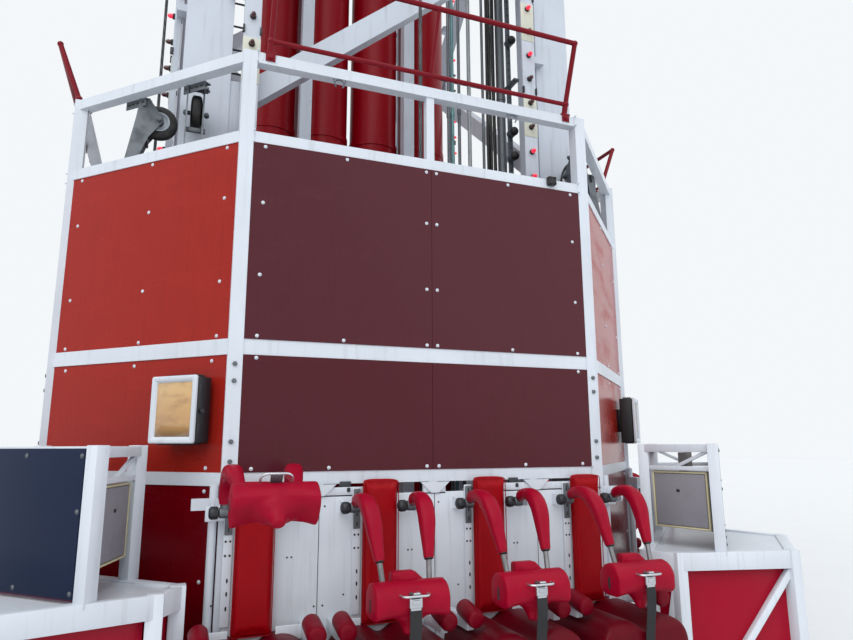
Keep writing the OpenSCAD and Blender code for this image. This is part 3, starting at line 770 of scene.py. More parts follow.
# black rubber on the rubber parts; on the black marks that stand for holes and slots it is painted shade
BLACK_RUBBER_AND_HOLE_SHADE = Rubber("black_rubber_and_hole_shade", rgb(20, 20, 22), "wheel_rubber")
ROPE = Rope("wire_rope", rgb(96, 98, 102), "cable_steel")
LENS = Lens("lamp_glass", rgb(200, 160, 100), "lamp_case")
LIT = Bulb("bulb_lit", rgb(240, 34, 66), "crimson_paint", glow=0.9)
UNLIT = Bulb("bulb_dark", rgb(74, 10, 22), "crimson_paint")
GRILLE = Cloth("speaker_front", rgb(140, 138, 146), "speaker_case", scale=900.0)
STRAP = Cloth("strap_weave", rgb(26, 26, 30), "wheel_rubber", scale=1500.0, hole=0.1)
CREAM = FramePaint("cream_edge", rgb(206, 198, 160), "speaker_case", wear=0.6)
STRIP_PALE = FramePaint("strip_pale", rgb(204, 205, 190), "white_paint", wear=0.6)
LAMP_CASE = FramePaint("lamp_case", rgb(26, 26, 30), "lamp_case", grime=rgb(52, 52, 54), chip=rgb(96, 96, 98), wear=0.4)
SPEAKER_CASE = FramePaint("speaker_case", rgb(120, 118, 118), "speaker_case", wear=0.5)
PIPES = Pipes("pipe_run", rgb(92, 98, 104), "pipe_steel")


# ---- making objects


def raw_object(name: str, shell: Shell) -> bpy.types.Object:
    """Object in the scene with a shell's points and faces as they are."""
    tri = shell.quads[:, 2] == shell.quads[:, 3]
    mesh = bpy.data.meshes.new(name)
    mesh.from_pydata(shell.points.tolist(), [], shell.quads[~tri].tolist() + shell.quads[tri][:, :3].tolist())
    obj = bpy.data.objects.new(name, mesh)
    bpy.context.scene.collection.objects.link(obj)
    return obj


def build(name: str, shell: Shell, finish: Finish, body: str = "carriage",
          smooth: float = 40.0) -> bpy.types.Object:
    """One piece of the scene from a shell.

    Args:
        name: piece name.
        shell: its surface, where it stands at rest.
        finish: its finish.
        body: body that it rides on.
        smooth: edges flatter than this angle in degrees are shaded smooth.

    Returns:
        The object.
    """
    obj = raw_object(name, shell)
    mesh = obj.data
    mesh.attributes.new("tint", "FLOAT", "POINT").data.foreach_set("value", shell.tint.astype(np.float32))
    bm = bmesh.new()
    bm.from_mesh(mesh)
    bmesh.ops.remove_doubles(bm, verts=bm.verts, dist=2e-5)
    bmesh.ops.dissolve_degenerate(bm, edges=bm.edges, dist=1e-5)
    bmesh.ops.recalc_face_normals(bm, faces=bm.faces)
    bm.to_mesh(mesh)
    bm.free()
    mesh.shade_smooth()
    mesh.set_sharp_from_angle(angle=math.radians(smooth))
    mesh.materials.append(finish.make())
    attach(obj, body)
    LOG.info("piece %s: %d faces", name, len(mesh.polygons))
    return obj


def shell_of(obj: bpy.types.Object) -> Shell:
    """The evaluated surface of an object as a shell of four-cornered faces."""
    mesh = obj.evaluated_get(bpy.context.evaluated_depsgraph_get()).to_mesh()
    co = np.zeros(len(mesh.vertices) * 3)
    mesh.vertices.foreach_get("co", co)
    quads = np.array([tuple(p.vertices) if len(p.vertices) == 4 else tuple(p.vertices[:3]) + (p.vertices[2],)
                      for p in mesh.polygons if len(p.vertices) in (3, 4)])
    return Shell(co.reshape(-1, 3).copy(), quads)


def stuffed(shell: Shell, voxel: float, cap: float, pressure: float, smooth: int,
            pinned: Callable[[Array], Array] | None = None) -> Shell:
    """Padding: remeshed, blown up a little as cloth, capped and smoothed.

    Args:
        shell: the slightly smaller shape that it starts from.
        voxel: remesh size.
        cap: farthest that a point may move.
        pressure: cloth pressure.
        smooth: smoothing rounds after the cloth.
        pinned: gives, for points, the weight 0 to 1 that holds them.

    Returns:
        The padded surface.
    """
    work = raw_object("padding_work", shell)
    re = work.modifiers.new("voxels", "REMESH")
    re.mode, re.voxel_size = "VOXEL", voxel
    sm = work.modifiers.new("smooth", "SMOOTH")
    sm.factor, sm.iterations = 0.5, smooth
    base = shell_of(work)
    bpy.data.objects.remove(work)
    work = raw_object("padding_cloth", base)
    cloth = work.modifiers.new("cloth", "CLOTH")
    s = cloth.settings
    s.use_pressure, s.uniform_pressure_force = True, pressure
    s.effector_weights.gravity = 0.0
    s.quality, s.mass, s.time_scale = 4, 0.3, 0.6
    s.tension_stiffness = s.compression_stiffness = 20.0
    cloth.collision_settings.use_collision = False
    if pinned is not None:
        group = work.vertex_groups.new(name="held")
        w = pinned(base.points)
        for level in (0.25, 0.5, 0.75, 1.0):
            group.add(np.flatnonzero(np.abs(w - level) <= 0.125).tolist(), level, "REPLACE")
        s.vertex_group_mass = "held"
    for n in range(1, 21):
        bpy.context.scene.frame_set(n)
    moved = shell_of(work)
    bpy.context.scene.frame_set(1)
    bpy.data.objects.remove(work)
    d = moved.points - base.points
    size = np.linalg.norm(d, axis=1, keepdims=True)
    d *= np.minimum(1.0, cap / np.maximum(size, 1e-9))
    return Shell(base.points + d, base.quads)


def dress(node: str, finish: Finish) -> None:
    """Gives a frame node its finish."""
    obj = frame["nodes"][node]
    for s in obj.material_slots:
        s.material = finish.make()
    if not obj.material_slots:
        obj.data.materials.append(finish.make())


# ---- sub-assemblies


@dataclass
class Stage:
    """Camera at the photograph's viewing angle, soft lights, pale floor and background."""

    eye: Point = (-1.2735, -5.0628, 1.60)
    yaw: float = 21.443
    pitch: float = 10.888
    roll: float = -0.217
    lens: float = 27.493

    def camera(self) -> None:
        """Camera axes: view d, right r turned by the roll, up u."""
        yaw, pitch, roll = (math.radians(v) for v in (self.yaw, self.pitch, self.roll))
        d = np.array([math.sin(yaw) * math.cos(pitch), math.cos(yaw) * math.cos(pitch), math.sin(pitch)])
        r = np.array([math.cos(yaw), -math.sin(yaw), 0.0])
        u = np.cross(r, d)
        right = math.cos(roll) * r + math.sin(roll) * u
        up = -math.sin(roll) * r + math.cos(roll) * u
        m = Matrix.Identity(4)
        for i, v in enumerate((right, up, -d, np.array(self.eye))):
            for j in range(3):
                m[j][i] = float(v[j])
        data = bpy.data.cameras.new("camera")
        data.lens, data.sensor_width = self.lens, 36.0
        data.clip_start, data.clip_end = 0.05, 200.0
        cam = bpy.data.objects.new("camera", data)
        cam.matrix_world = m
        bpy.context.scene.collection.objects.link(cam)
        bpy.context.scene.camera = cam

    def sun(self, name: str, azimuth: float, elevation: float, energy: float, angle: float,
            color: Point = (1.0, 1.0, 1.0)) -> None:
        """A soft sun that comes from an azimuth, where 0 is the front and 90 the right."""
        data = bpy.data.lights.new(name, "SUN")
        data.energy, data.angle, data.color = energy, math.radians(angle), color
        sun = bpy.data.objects.new(name, data)
        sun.matrix_world = spin(azimuth, "Z") @ spin(90 - elevation, "X")
        bpy.context.scene.collection.objects.link(sun)

    def world(self) -> None:
        """Even ambient for the object, pale for camera, glossy and transmission rays."""
        w = bpy.data.worlds.new("studio")
        w.use_nodes = True
        g = Graph(w.node_tree)
        path = g.node("ShaderNodeLightPath")
        seen = Socket(g, path.outputs["Is Camera Ray"]).larger(Socket(g, path.outputs["Is Transmission Ray"])).larger(
            Socket(g, path.outputs["Is Glossy Ray"]))
        soft = g.node("ShaderNodeBackground", inputs={0: (0.90, 0.95, 1.0, 1.0), 1: 0.62})
        pale = g.node("ShaderNodeBackground", inputs={0: (0.90, 0.93, 0.955, 1.0), 1: 1.0})
        b = g.node("ShaderNodeMixShader", inputs={0: seen, 1: soft.outputs[0], 2: pale.outputs[0]})
        g.node("ShaderNodeOutputWorld", inputs={0: b.outputs[0]})
        bpy.context.scene.world = w

    def floor(self) -> None:
        """Pale floor with the faintest mottling."""
        m = bpy.data.materials.new("floor")
        m.use_nodes = True
        g = Graph(m.node_tree)
        tone = g.mix(g.noise(1.3, 3.0).ramp(0.3, 0.7) * 0.3, (0.80, 0.81, 0.82, 1.0), (0.76, 0.77, 0.79, 1.0))
        g.close(Base_Color=tone, Roughness=0.8)
        mesh = bpy.data.meshes.new("floor")
        far, z = 60, -0.002
        mesh.from_pydata([(-far, -far, z), (far, -far, z), (far, far, z), (-far, far, z)], [], [(0, 1, 2, 3)])
        mesh.materials.append(m)
        obj = bpy.data.objects.new("floor", mesh)
        bpy.context.scene.collection.objects.link(obj)

    def place(self) -> None:
        """Everything that isn't the object."""
        self.camera()
        self.world()
        self.sun("key", -38.0, 46.0, 1.9, 70.0, (1.0, 0.985, 0.96))
        self.sun("fill", 62.0, 34.0, 0.7, 90.0, (0.93, 0.96, 1.0))
        self.floor()
        bpy.context.scene.view_settings.view_transform = "Standard"


@dataclass
class FrameFinishes:
    """Finishes of the frame nodes that keep their own shape."""

    def place(self) -> None:
        """Dresses each node by the start of its name."""
        looks = {
            MAST_WHITE: ("mast_", "cylinder_rack", "crosshead", "head_frame", "light_strips"),
            WHITE: ("frame_", "corner_frames", "corner_stand_frames", "seat_backs_"),
            CRIMSON: ("launch_cylinders",), RAIL_RED: ("service_rails",), GREY_STEEL: ("head_sheaves", "guide_forks"),
            ROPE: ("hoist_cables",), PIPES: ("service_pipes",), STAND_PANEL: ("corner_stand_panels",),
            SPEAKER_CASE: ("loudspeakers",), MAROON: ("sign_panels",), ORANGE: ("corner_panels",),
            LAMP_CASE: ("floodlights",), TYRE: ("guide_wheel",), BACK_RED: ("back_pads",), SEAT_RED: ("seats_",),
            PAD_RED: ("restraint",),
        }
        for finish, starts in looks.items():
            for node in frame["nodes"]:
                if node.startswith(starts):
                    dress(node, finish)


@dataclass
class Fasteners:
    """Dome bolts on the panels, small screws on the seat backs and nuts on the posts."""

    radius: float = 0.0074
    rise: float = 0.005
    nut_y: float = -1.905
    nut_zs: tuple[float, ...] = (1.98, 1.90, 1.62, 1.53, 0.72, 0.80)
    panel_xs: tuple[float, ...] = (0.905, 0.48, 0.03)
    corner_half: float = 0.52

    def dome(self) -> Shell:
        """Dome head on a washer, pointing along -y."""
        r, h = self.radius, self.rise
        washer = 0.0018
        crown = [(r * x, washer + h * z) for x, z in arc(1.0, 0, 90, 4)[1:-1]]
        profile = [(r * 1.25, 0.0), (r * 1.25, 0.0016), (r, washer), *crown, (ON_AXIS, washer + h)]
        return stud(profile, 12)

    def front_grid(self) -> list[Point]:
        """Bolt places on a main face as (x, y, z)."""
        y = -RING.panel_y
        upper = [(s * x, y, z) for s in (-1, 1) for x in self.panel_xs for z in (3.088, 2.118)]
        upper += [(s * x, y, z) for s in (-1, 1) for x in self.panel_xs[::2] for z in (2.79, 2.42)]
        lower = [(s * 0.903, y, 2.012) for s in (-1, 1)]
        lower += [(s * x, y, 1.496) for s in (-1, 1) for x in (0.904, 0.54, 0.033)]
        return upper + lower

    def corner_grid(self) -> list[Point]:
        """Bolt places on a corner panel, in the corner frame."""
        y = -RING.corner_panel_y
        upper = [(x, y, z) for x in (-self.corner_half, 0.015, self.corner_half) for z in (3.09, 2.82, 2.39, 2.12)]
        middle = [(x, y, 2.0) for x in (-0.5, 0.0, 0.5)] + [(0.50, y, 1.50), (-0.5, y, 1.50)]
        lower = [(x, y, z) for x in (-0.5, 0.5) for z in (1.395, 1.0, 0.62)]
        return upper + middle + lower

    def back_screws(self) -> list[Point]:
        """Small screws on a seat back panel."""
        y = -RING.back_face
        round_seat = ((0.15, 1.10), (0.17, 1.10), (0.24, 1.33), (-0.17, 0.92))
        places = [(x + dx, y, z) for x in RING.seat_xs() for dx, z in round_seat]
        return places + [(x, y, z) for x in (-0.02, 0.02, 0.56, 0.60, -0.56, -0.60) for z in (1.32, 0.88)]

    def place(self) -> None:
        """One piece for the panel bolts, one for the screws, one for the frame nuts."""
        dome = self.dome()
        bolts = spread(TURNS, self.front_grid()) + spread(CORNERS, self.corner_grid())
        build("panel_bolts", copies(dome, bolts), WHITE)
        build("back_screws", copies(dome.moved(Matrix.Scale(0.5, 4)), spread(TURNS, self.back_screws())), DARK_STEEL)
        hexa = stud([(0.0115, 0.0), (0.0115, 0.008), (0.0095, 0.0095), (ON_AXIS, 0.0095)], 6)
        nuts = [(x, self.nut_y, z) for x in (-1, 1) for z in self.nut_zs]
        build("post_nuts", copies(hexa, spread(TURNS, nuts)), GREY_STEEL, smooth=20)


@dataclass
class FrameDressing:
    """Tie rings, junction box, hooks, weld beads, post lacing and rail clamps of the carriage frame."""

    def ring_loop(self) -> Shell:
        """Wire ring under the handrail: three quarters of a circle with turned-out feet."""
        p = np.concatenate([[(0.034, -0.004)], arc(0.026, -50, 230, 22, (0.0, -0.030)), [(-0.034, -0.004)]])
        path = np.stack([p[:, 0], np.zeros(len(p)), p[:, 1]], -1)
        return tube(path, 0.0035, 8, up=(0, 1, 0))

    def bead(self, length: float) -> Shell:
        """Weld bead along x: radius r (1 + 0.18 sin) for the ripples."""
        n = 28
        x = np.linspace(-length / 2, length / 2, n)
        r = 0.0042 * (1 + 0.18 * np.sin(np.arange(n) * 1.9))
        return tube(np.stack([x, np.zeros(n), np.zeros(n)], -1), r, 6, up=(0, 0, 1))

    def lacing(self) -> Shell:
        """Short flat diagonals beside the post of the lower panel."""
        bars = [block((0.03, 0.006, 0.17), 0.002, 1).moved(at(x, -1.893, z) @ spin(a, "Y")) for x, z, a in
                ((0.957, 1.90, 38), (0.957, 1.60, -38))]
        return join(bars)

    def clamp(self) -> Shell:
        """Saddle clamp over the handrail: plate, cheek and nut."""
        nut = lathe([(0.012, 0.0), (0.012, 0.012), (ON_AXIS, 0.013)], 6)
        parts = [box((0.062, 0.074, 0.008), (0, 0, 0.0345)),
                 box((0.05, 0.006, 0.05), (0, -0.034, 0.012)),
                 nut.moved(at(0.0, -0.036, 0.008) @ spin(90, "X"))]
        return join(parts)

    def place(self) -> None:
        """Small pieces on each side of the ring."""
        rings = spread(TURNS, [(x, -1.893, RING.z_hand - 0.030) for x in (-0.53, 0.53)])
        build("tie_rings", copies(self.ring_loop(), rings), GREY_STEEL)
        beads = []
        for z in (RING.z_low, RING.z_panel, RING.z_hand):
            for s in (-1, 1):
                for dz in (-0.03, 0.03):
                    beads.append(self.bead(0.05).moved(at(s * (RING.hw - 0.036), -1.9, z + dz) @ spin(90, "Z")))
                beads.append(self.bead(0.06).moved(at(s * (RING.hw - 0.0355), -1.9005, z) @ spin(90, "Y")))
        build("weld_beads", copies(join(beads), TURNS), WHITE)
        build("post_lacing", copies(self.lacing(), [m @ k for m in TURNS for k in (MIRROR_X, SAME)]), WHITE)
        clamps = spread(TURNS, [(x, -1.87, RING.z_hand) for x in (-0.9, 0.9)])
        build("rail_clamps", copies(self.clamp(), clamps), RAIL_RED)
        screw = stud([(0.006, 0), (0.006, 0.006), (ON_AXIS, 0.007)], 8)
        studs = [screw.moved(at(x, -0.017, z)) for x in (-0.016, 0.016) for z in (-0.016, 0.016)]
        case = join([block((0.052, 0.034, 0.052), 0.005, 2), *studs])
        build("junction_box", case.moved(at(0.77, -1.916, 3.150)), LAMP_CASE)
        hook = join([block((0.055, 0.010, 0.036), 0.003, 1), box((0.016, 0.026, 0.020), (0.012, -0.012, -0.02), 0.004)])
        build("catch_hooks", copies(hook, spread(TURNS, [(x, -1.908, 1.412) for x in (-0.458, 0.458)])), DARK_STEEL)


@dataclass
class LightStrips:
    """Cap lamps on the eight strips of the mast, with clamps on their plates."""

    pitch: float = 0.185
    first: float = 0.635
    plate_pitch: float = 0.74
    pattern: tuple[int, ...] = (1, 1, 0, 0, 0, 1, 0, 1)

    def place(self) -> None:
        """Bulbs at z = first + n * pitch; the pattern says which glow."""
        x = (MAST.light_x0 + MAST.light_x1) / 2
        y = -MAST.half - 0.072
        socket = stud([(0.019, 0.0), (0.019, 0.012), (0.015, 0.016)], 12)
        cap = stud([(0.0135, 0.014), (0.0150, 0.022), (0.0145, 0.034), (0.0105, 0.043), (0.005, 0.047),
                     (ON_AXIS, 0.048)], 12)
        zs = np.arange(self.first, MAST.height - 0.35, self.pitch)
        base = spread(TURNS, [(s * x, y, float(z)) for s in (-1, 1) for z in zs])
        glow = [self.pattern[(n + (s > 0)) % len(self.pattern)] for _ in Side for s in (-1, 1) for n in range(len(zs))]
        build("lamp_sockets", copies(socket, base), BLACK_RUBBER_AND_HOLE_SHADE, "mast")
        build("lamp_caps_lit", copies(cap, [m for m, on in zip(base, glow) if on]), LIT, "mast")
        build("lamp_caps_dark", copies(cap, [m for m, on in zip(base, glow) if not on]), UNLIT, "mast")
        plate = block((0.104, 0.004, 0.30), 0.0015, 1)
        clip = join([box((0.012, 0.02, 0.05), (s * 0.05, -0.004, 0), 0.003) for s in (-1, 1)])
        middles = [(s * x, float(z)) for s in (-1, 1) for z in np.arange(0.9, MAST.height - 0.6, self.plate_pitch)]
        build("strip_plates", copies(plate, spread(TURNS, [(u, y - 0.001, z) for u, z in middles])), STRIP_PALE, "mast")
        build("strip_clips", copies(clip, spread(TURNS, [(u, y, z + 0.2) for u, z in middles])), DARK_STEEL, "mast")


@dataclass
class HoistRopes:
    """Laid wire ropes in place of the plain cables."""

    x: float = 0.09
    y: float = 1.50
    radius: float = 0.011
    wheel: float = 0.221
    axle_z: float = 11.84
    yoke_z: float = 10.72
    turns_round: float = 6.0
    turns_along: float = 75.0

    def route(self) -> Array:
        """Up the face, half round the sheave, down to the crosshead: (y, z) pairs at one x."""
        far = -self.y + 2 * self.wheel
        up = [(-self.y, z) for z in np.linspace(0.02, self.axle_z, 150)]
        over = arc(self.wheel, 180, 0, 40, (-self.y + self.wheel, self.axle_z))[1:-1]
        down = [(far, z) for z in np.linspace(self.axle_z, self.yoke_z, 20)]
        yz = np.concatenate([up, over, down])
        return np.column_stack([np.full(len(yz), self.x), yz])

    def place(self) -> None:
        """Strand angle on each point = turns_round * around + turns_along * along."""
        path = self.route()
        sides = 12
        rope = tube(path, self.radius, sides, up=(1, 0, 0))
        skin = (self.turns_round * around(sides)[None, :] + self.turns_along * lengths(path)[:, None]).ravel()
        rope.tint[:len(skin)] = skin
        socket = lathe([(ON_AXIS, 0.0), (0.034, 0.0), (0.034, 0.05), (0.018, 0.10), (0.0115, 0.12)], 20)
        ends = copies(socket, [at(self.x, -self.y, 0), at(self.x, -self.y + 2 * self.wheel, self.yoke_z)])
        obj = build("hoist_ropes", copies(rope, TURNS), ROPE, "mast")
        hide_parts("hoist_cables")
        build("rope_sockets", copies(ends, TURNS), DARK_STEEL, "mast")


@dataclass
class BackPads:
    """Tall back pads: one is blown up as cloth, then set sixteen times."""

    width: float = 0.182
    depth: float = 0.046
    z0: float = 0.782
    z1: float = 1.440

    def pad(self) -> Shell:
        """Slim block with a crowned front; its back stays flat on the panel."""
        core = block((self.width - 0.004, self.depth - 0.008, self.z1 - self.z0 - 0.004), 0.012, 4)
        return stuffed(core, 0.009, 0.006, 3.0, 3, lambda p: (p[:, 1] > self.depth / 2 - 0.012).astype(float))

    def place(self) -> None:
        """Pads on each back panel, with a seam cord round the front edge."""
        middle = RING.back_face + 0.0003 + self.depth / 2
        places = spread(TURNS, [(x, -middle, (self.z0 + self.z1) / 2) for x in RING.seat_xs()])
        pads = build("seat_back_pads", copies(self.pad(), places), BACK_RED)
        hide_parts("back_pads")
        inset = 0.006
        edge = rounded(self.width / 2 - inset, (self.z1 - self.z0) / 2 - inset, 0.014, 5, -self.depth / 2 + 0.004)
        seam = tube(edge, 0.0022, 6, up=(0, 1, 0), closed=True)
        build("back_pad_seams", copies(seam, places), BACK_RED)


@dataclass
class Seats:
    """Moulded seats: two thigh lobes over a skirt with calf hollows, and a bolster each side."""

    lobe_r: float = 0.128
    lobe_x: float = 0.122
    lobe_z: float = 0.668
    skirt_z: float = 0.500
    front: float = 2.396
    nose_r: float = 0.090
    calf_w: float = 0.075
    calf_top: float = 0.600
    calf_depth: float = 0.036
    bolster_r: float = 0.040
    bolster_x: float = 0.228
    bolster_y: float = 2.120
    bolster_z: float = 0.8583
    bolster_len: float = 0.130
    tilt: float = 10.0

    def outline(self, n: int = 44) -> Array:
        """Closed outline (x, z): over both lobes, down the sides and along the bottom.

        The height over a lobe is lobe_z + sqrt(r^2 - (|x| - lobe_x)^2); the valley is rounded by a soft maximum.
        """
        half = self.lobe_x + self.lobe_r
        x = half * np.sin(np.linspace(-math.pi / 2, math.pi / 2, n))
        h = np.sqrt(np.maximum(self.lobe_r ** 2 - (np.abs(x) - self.lobe_x) ** 2, 0))
        dip = np.sqrt(self.lobe_r ** 2 - self.lobe_x ** 2) + 0.030
        sharp = 110
        valley = np.minimum(np.logaddexp(h * sharp, dip * sharp) / sharp, self.lobe_r)
        top = np.where(np.abs(x) < self.lobe_x, valley, h)
        upper = np.stack([x, self.lobe_z + top], -1)
        zs = np.linspace(self.lobe_z - 0.02, self.skirt_z + 0.012, 6)
        right = np.stack([np.full(6, half - 0.003), zs], -1)
        bottom = np.stack([np.linspace(half - 0.015, -half + 0.015, 9), np.full(9, self.skirt_z)], -1)
        left = np.stack([np.full(6, -half + 0.003), zs[::-1]], -1)
        return np.concatenate([upper, right, bottom, left])

    def moulding(self) -> Shell:
        """The outline carried forward; in front its top follows the nose circle and its face has two hollows.

        Top limit = nose_z + sqrt(R^2 - d^2) where d is the distance past the nose centre. A hollow is
        calf_depth * exp(-((|x| - lobe_x) / calf_w)^4) / (1 + exp((z - calf_top) / 0.012)).
        """
        loop = self.outline()
        nose_y = self.front + 0.004 - self.nose_r
        nose_z = self.lobe_z + self.lobe_r + 0.010 - self.nose_r
        nose = nose_y + (self.front - nose_y) * np.sin(np.linspace(0, math.pi / 2, 12))
        ys = np.concatenate([np.linspace(RING.back_face + 0.001, nose_y, 8), nose[1:]])
        rows = []
        for y in ys:
            cap = nose_z + math.sqrt(max(self.nose_r ** 2 - max(0.0, y - nose_y) ** 2, 0.0))
            z = np.minimum(loop[:, 1], cap)
            shrink = 1 - 0.05 * max(0.0, (y - self.front + 0.02) / 0.02) ** 2
            rows.append(np.stack([loop[:, 0] * shrink, np.full(len(loop), -y), z], -1))
        body = smoothed(np.array(rows), 2)
        face = fan(body[-1][::-1], 10)
        p = face.points
        near = np.exp(-((np.abs(p[:, 0]) - self.lobe_x) / self.calf_w) ** 4)
        below = 1 / (1 + np.exp((p[:, 2] - self.calf_top) / 0.012))
        p[:, 1] += self.calf_depth * near * below
        return join([grid(body, wrap_v=True), face, fan(body[0], 2)])

    def bolster(self) -> Shell:
        """Short capsule with a round root and a flat, soft-edged front, in the seat's frame."""
        r, n = self.bolster_r, self.bolster_len
        root = [(r * math.sin(a), -r * 0.4 * math.cos(a)) for a in np.linspace(0.02, math.pi / 2, 7)]
        front = [(r, n * 0.5), (r * 1.02, n * 0.8), (r, n - 0.004), (r * 0.97, n + 0.003), (r * 0.86, n + 0.0085),
                 (r * 0.4, n + 0.009), (ON_AXIS, n + 0.009)]
        return lathe(root + front, 28)

    def place(self) -> None:
        """Four seats a side, one piece each side."""
        bolsters = copies(self.bolster(), [at(s * self.bolster_x, -self.bolster_y, self.bolster_z)
                                           @ spin(90 + self.tilt, "X") for s in (-1, 1)])
        seat = self.moulding()
        for side in Side:
            name = side.name.lower()
            places = [turn(side) @ at(x, 0, 0) for x in RING.seat_xs()]
            obj = build("seat_moulds_" + name, copies(seat, places), SEAT_RED, smooth=60)
            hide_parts("seats_" + name)
            pads = build("seat_bolsters_" + name, copies(bolsters, places), BOLSTER_RED, smooth=50)
        plug = lathe([(0.017, 0.0), (0.017, 0.02), (0.012, 0.024), (ON_AXIS, 0.024)], 16)
        y, z = -RING.back_face - 0.12, self.bolster_z - 0.058
        feet = [(x + s * self.bolster_x, y, z) for x in RING.seat_xs() for s in (-1, 1)]
        build("bolster_studs", copies(plug.moved(spin(90, "X")), spread(TURNS, feet)), DARK_STEEL)


@dataclass
class Restraint:
    """Over-shoulder restraint in its hinge frame: padded arms, bars, moulded chest pad, handle, buckle and strap.

    Attributes:
        arm_x, cut_x, bar_x: half distances of the arms at the hinge, at their cut ends, and of the bars in the pad.
        arm_r, arm_mid, arm_cut: arm half widths at the hinge, at the shoulder and at the cut.
        f, z: the chest pad's middle, forward of the hinge and above it; r, half: its radius and half length.
        under, hollow: depth of its underside, and how far that is hollowed.
        handle_z, handle_out, handle_half: the handle's height over the pad's middle, reach and half width.
        lift: degrees by which the first restraint is raised.
        bare: points of the arm path that the padding leaves bare.
    """

    arm_x: float = 0.140
    cut_x: float = 0.112
    bar_x: float = 0.101
    arm_r: float = 0.030
    arm_mid: float = 0.041
    arm_cut: float = 0.023
    hub_r: float = 0.024
    hub_len: float = 0.050
    bar_r: float = 0.012
    f: float = 0.350
    z: float = -0.352
    r: float = 0.083
    half: float = 0.163
    under: float = 0.066
    hollow: float = 0.040
    horn_len: float = 0.092
    horn_r: float = 0.021
    handle_z: float = 0.040
    handle_out: float = 0.031
    handle_half: float = 0.060
    strap_len: float = 0.280
    lift: float = 53.0
    bare: int = 4

    def arm_path(self) -> Array:
        """Centre line of an arm: a cubic over the shoulder, then a straight run to the cut end.

        Shoulder = (1 - t)^3 a + 3 t (1 - t)^2 b + 3 t^2 (1 - t) c + t^3 d; x closes in over the last three quarters.
        """
        t = np.linspace(0, 1, 26)[:, None]
        a, b, c, d = (np.array(p) for p in ((0.0, 0.0), (-0.045, 0.058), (-0.198, 0.080), (-0.252, -0.054)))
        shoulder = (1 - t) ** 3 * a + 3 * t * (1 - t) ** 2 * b + 3 * t ** 2 * (1 - t) * c + t ** 3 * d
        run = d + np.linspace(0.06, 1, 16)[:, None] * (np.array([-0.302, -0.196]) - d)
        yz = np.concatenate([shoulder, run])
        s = lengths(yz)
        x = self.arm_x + (self.cut_x - self.arm_x) * np.clip((s / s[-1] - 0.25) / 0.75, 0, 1)
        return np.column_stack([x, yz])

    def arm(self) -> Shell:
        """Padded arm with softly squared rings that swell at the shoulder and taper to the cut end.

        Ring point = path + w k(a) (cos a * side + 0.92 sin a * normal), k = (|cos a|^3 + |sin a|^3)^(-1/3).
        """
        path = self.arm_path()[self.bare:]
        s = lengths(path)
        s /= s[-1]
        r, mid, cut = self.arm_r, self.arm_mid, self.arm_cut
        w = np.interp(s, [0, 0.05, 0.18, 0.45, 0.62, 0.95, 0.985, 1.0],
                      [r * 0.8, r * 0.95, r, mid * 0.94, mid * 0.90, cut, cut * 0.97, cut * 0.86])
        side, normal = across(path, (1.0, 0.0, 0.0))
        a = around(36) + 0.32
        k = (np.abs(np.cos(a)) ** 3 + np.abs(np.sin(a)) ** 3) ** (-1 / 3)
        wide, high = ((k * f(a))[None, :, None] for f in (np.cos, np.sin))
        ring = path[:, None] + w[:, None, None] * (wide * side[:, None] + 0.92 * high * normal[:, None])
        return capped(smoothed(ring, 1))

    def hub(self) -> Shell:
        """Rounded hub round the hinge, along x."""
        r, h = self.hub_r, self.hub_len / 2
        edge = 0.010
        side = [(r - edge + edge * math.cos(a), h - edge + edge * math.sin(a)) for a in np.linspace(0, math.pi / 2, 5)]
        profile = [(ON_AXIS, -h)] + [(x, -z) for x, z in side[::-1]] + side + [(ON_AXIS, h)]
        return lathe(profile, 30, Axis.X)

    def cuff(self) -> Shell:
        """Dark rim where the grey bar leaves the arm."""
        return lathe([(ON_AXIS, -0.002), (0.019, -0.002), (0.0205, 0.002), (0.0145, 0.006), (0.0125, 0.007)], 24)

    def pad_core(self) -> Shell:
        """Chest pad: a roll whose underside is hollowed for the thighs, more at the back than at the front.

        Underside z = -under + hollow * (0.2 + 0.8 v) * (1 - |x / half|^2.4), with v from 0 in front to 1 behind.
        """
        deep = self.r - 0.004
        xs = np.concatenate([[-self.half] * 3, np.linspace(-self.half + 0.003, self.half - 0.003, 60), [self.half] * 3])
        ends = [0.88, 0.94, 0.98]
        shrink = ends + [1.0] * (len(xs) - 6) + ends[::-1]
        top = arc(self.r, 18, 162, 26)
        flat = np.linspace(-deep, deep, 22)
        rows = []
        for x, k in zip(xs, shrink):
            v = (flat + deep) / (2 * deep)
            under = -self.under + self.hollow * (0.2 + 0.8 * v) * (1 - abs(x / self.half) ** 2.4)
            under = under + 0.026 * np.abs(flat / deep) ** 4
            front = np.stack([np.full(7, -deep), np.linspace(0.020, under[0] + 0.004, 7)], -1)
            back = np.stack([np.full(7, deep), np.linspace(under[-1] + 0.004, 0.020, 7)], -1)
            loop = np.concatenate([top, front, np.stack([flat, under], -1), back])
            middle = np.array([0.0, -0.004])
            loop = middle + (loop - middle) * k + (-self.f, self.z)
            rows.append(np.column_stack([np.full(len(loop), x), loop]))
        body = smoothed(np.array(rows), 2)
        return join([capped(body), self.horn()])

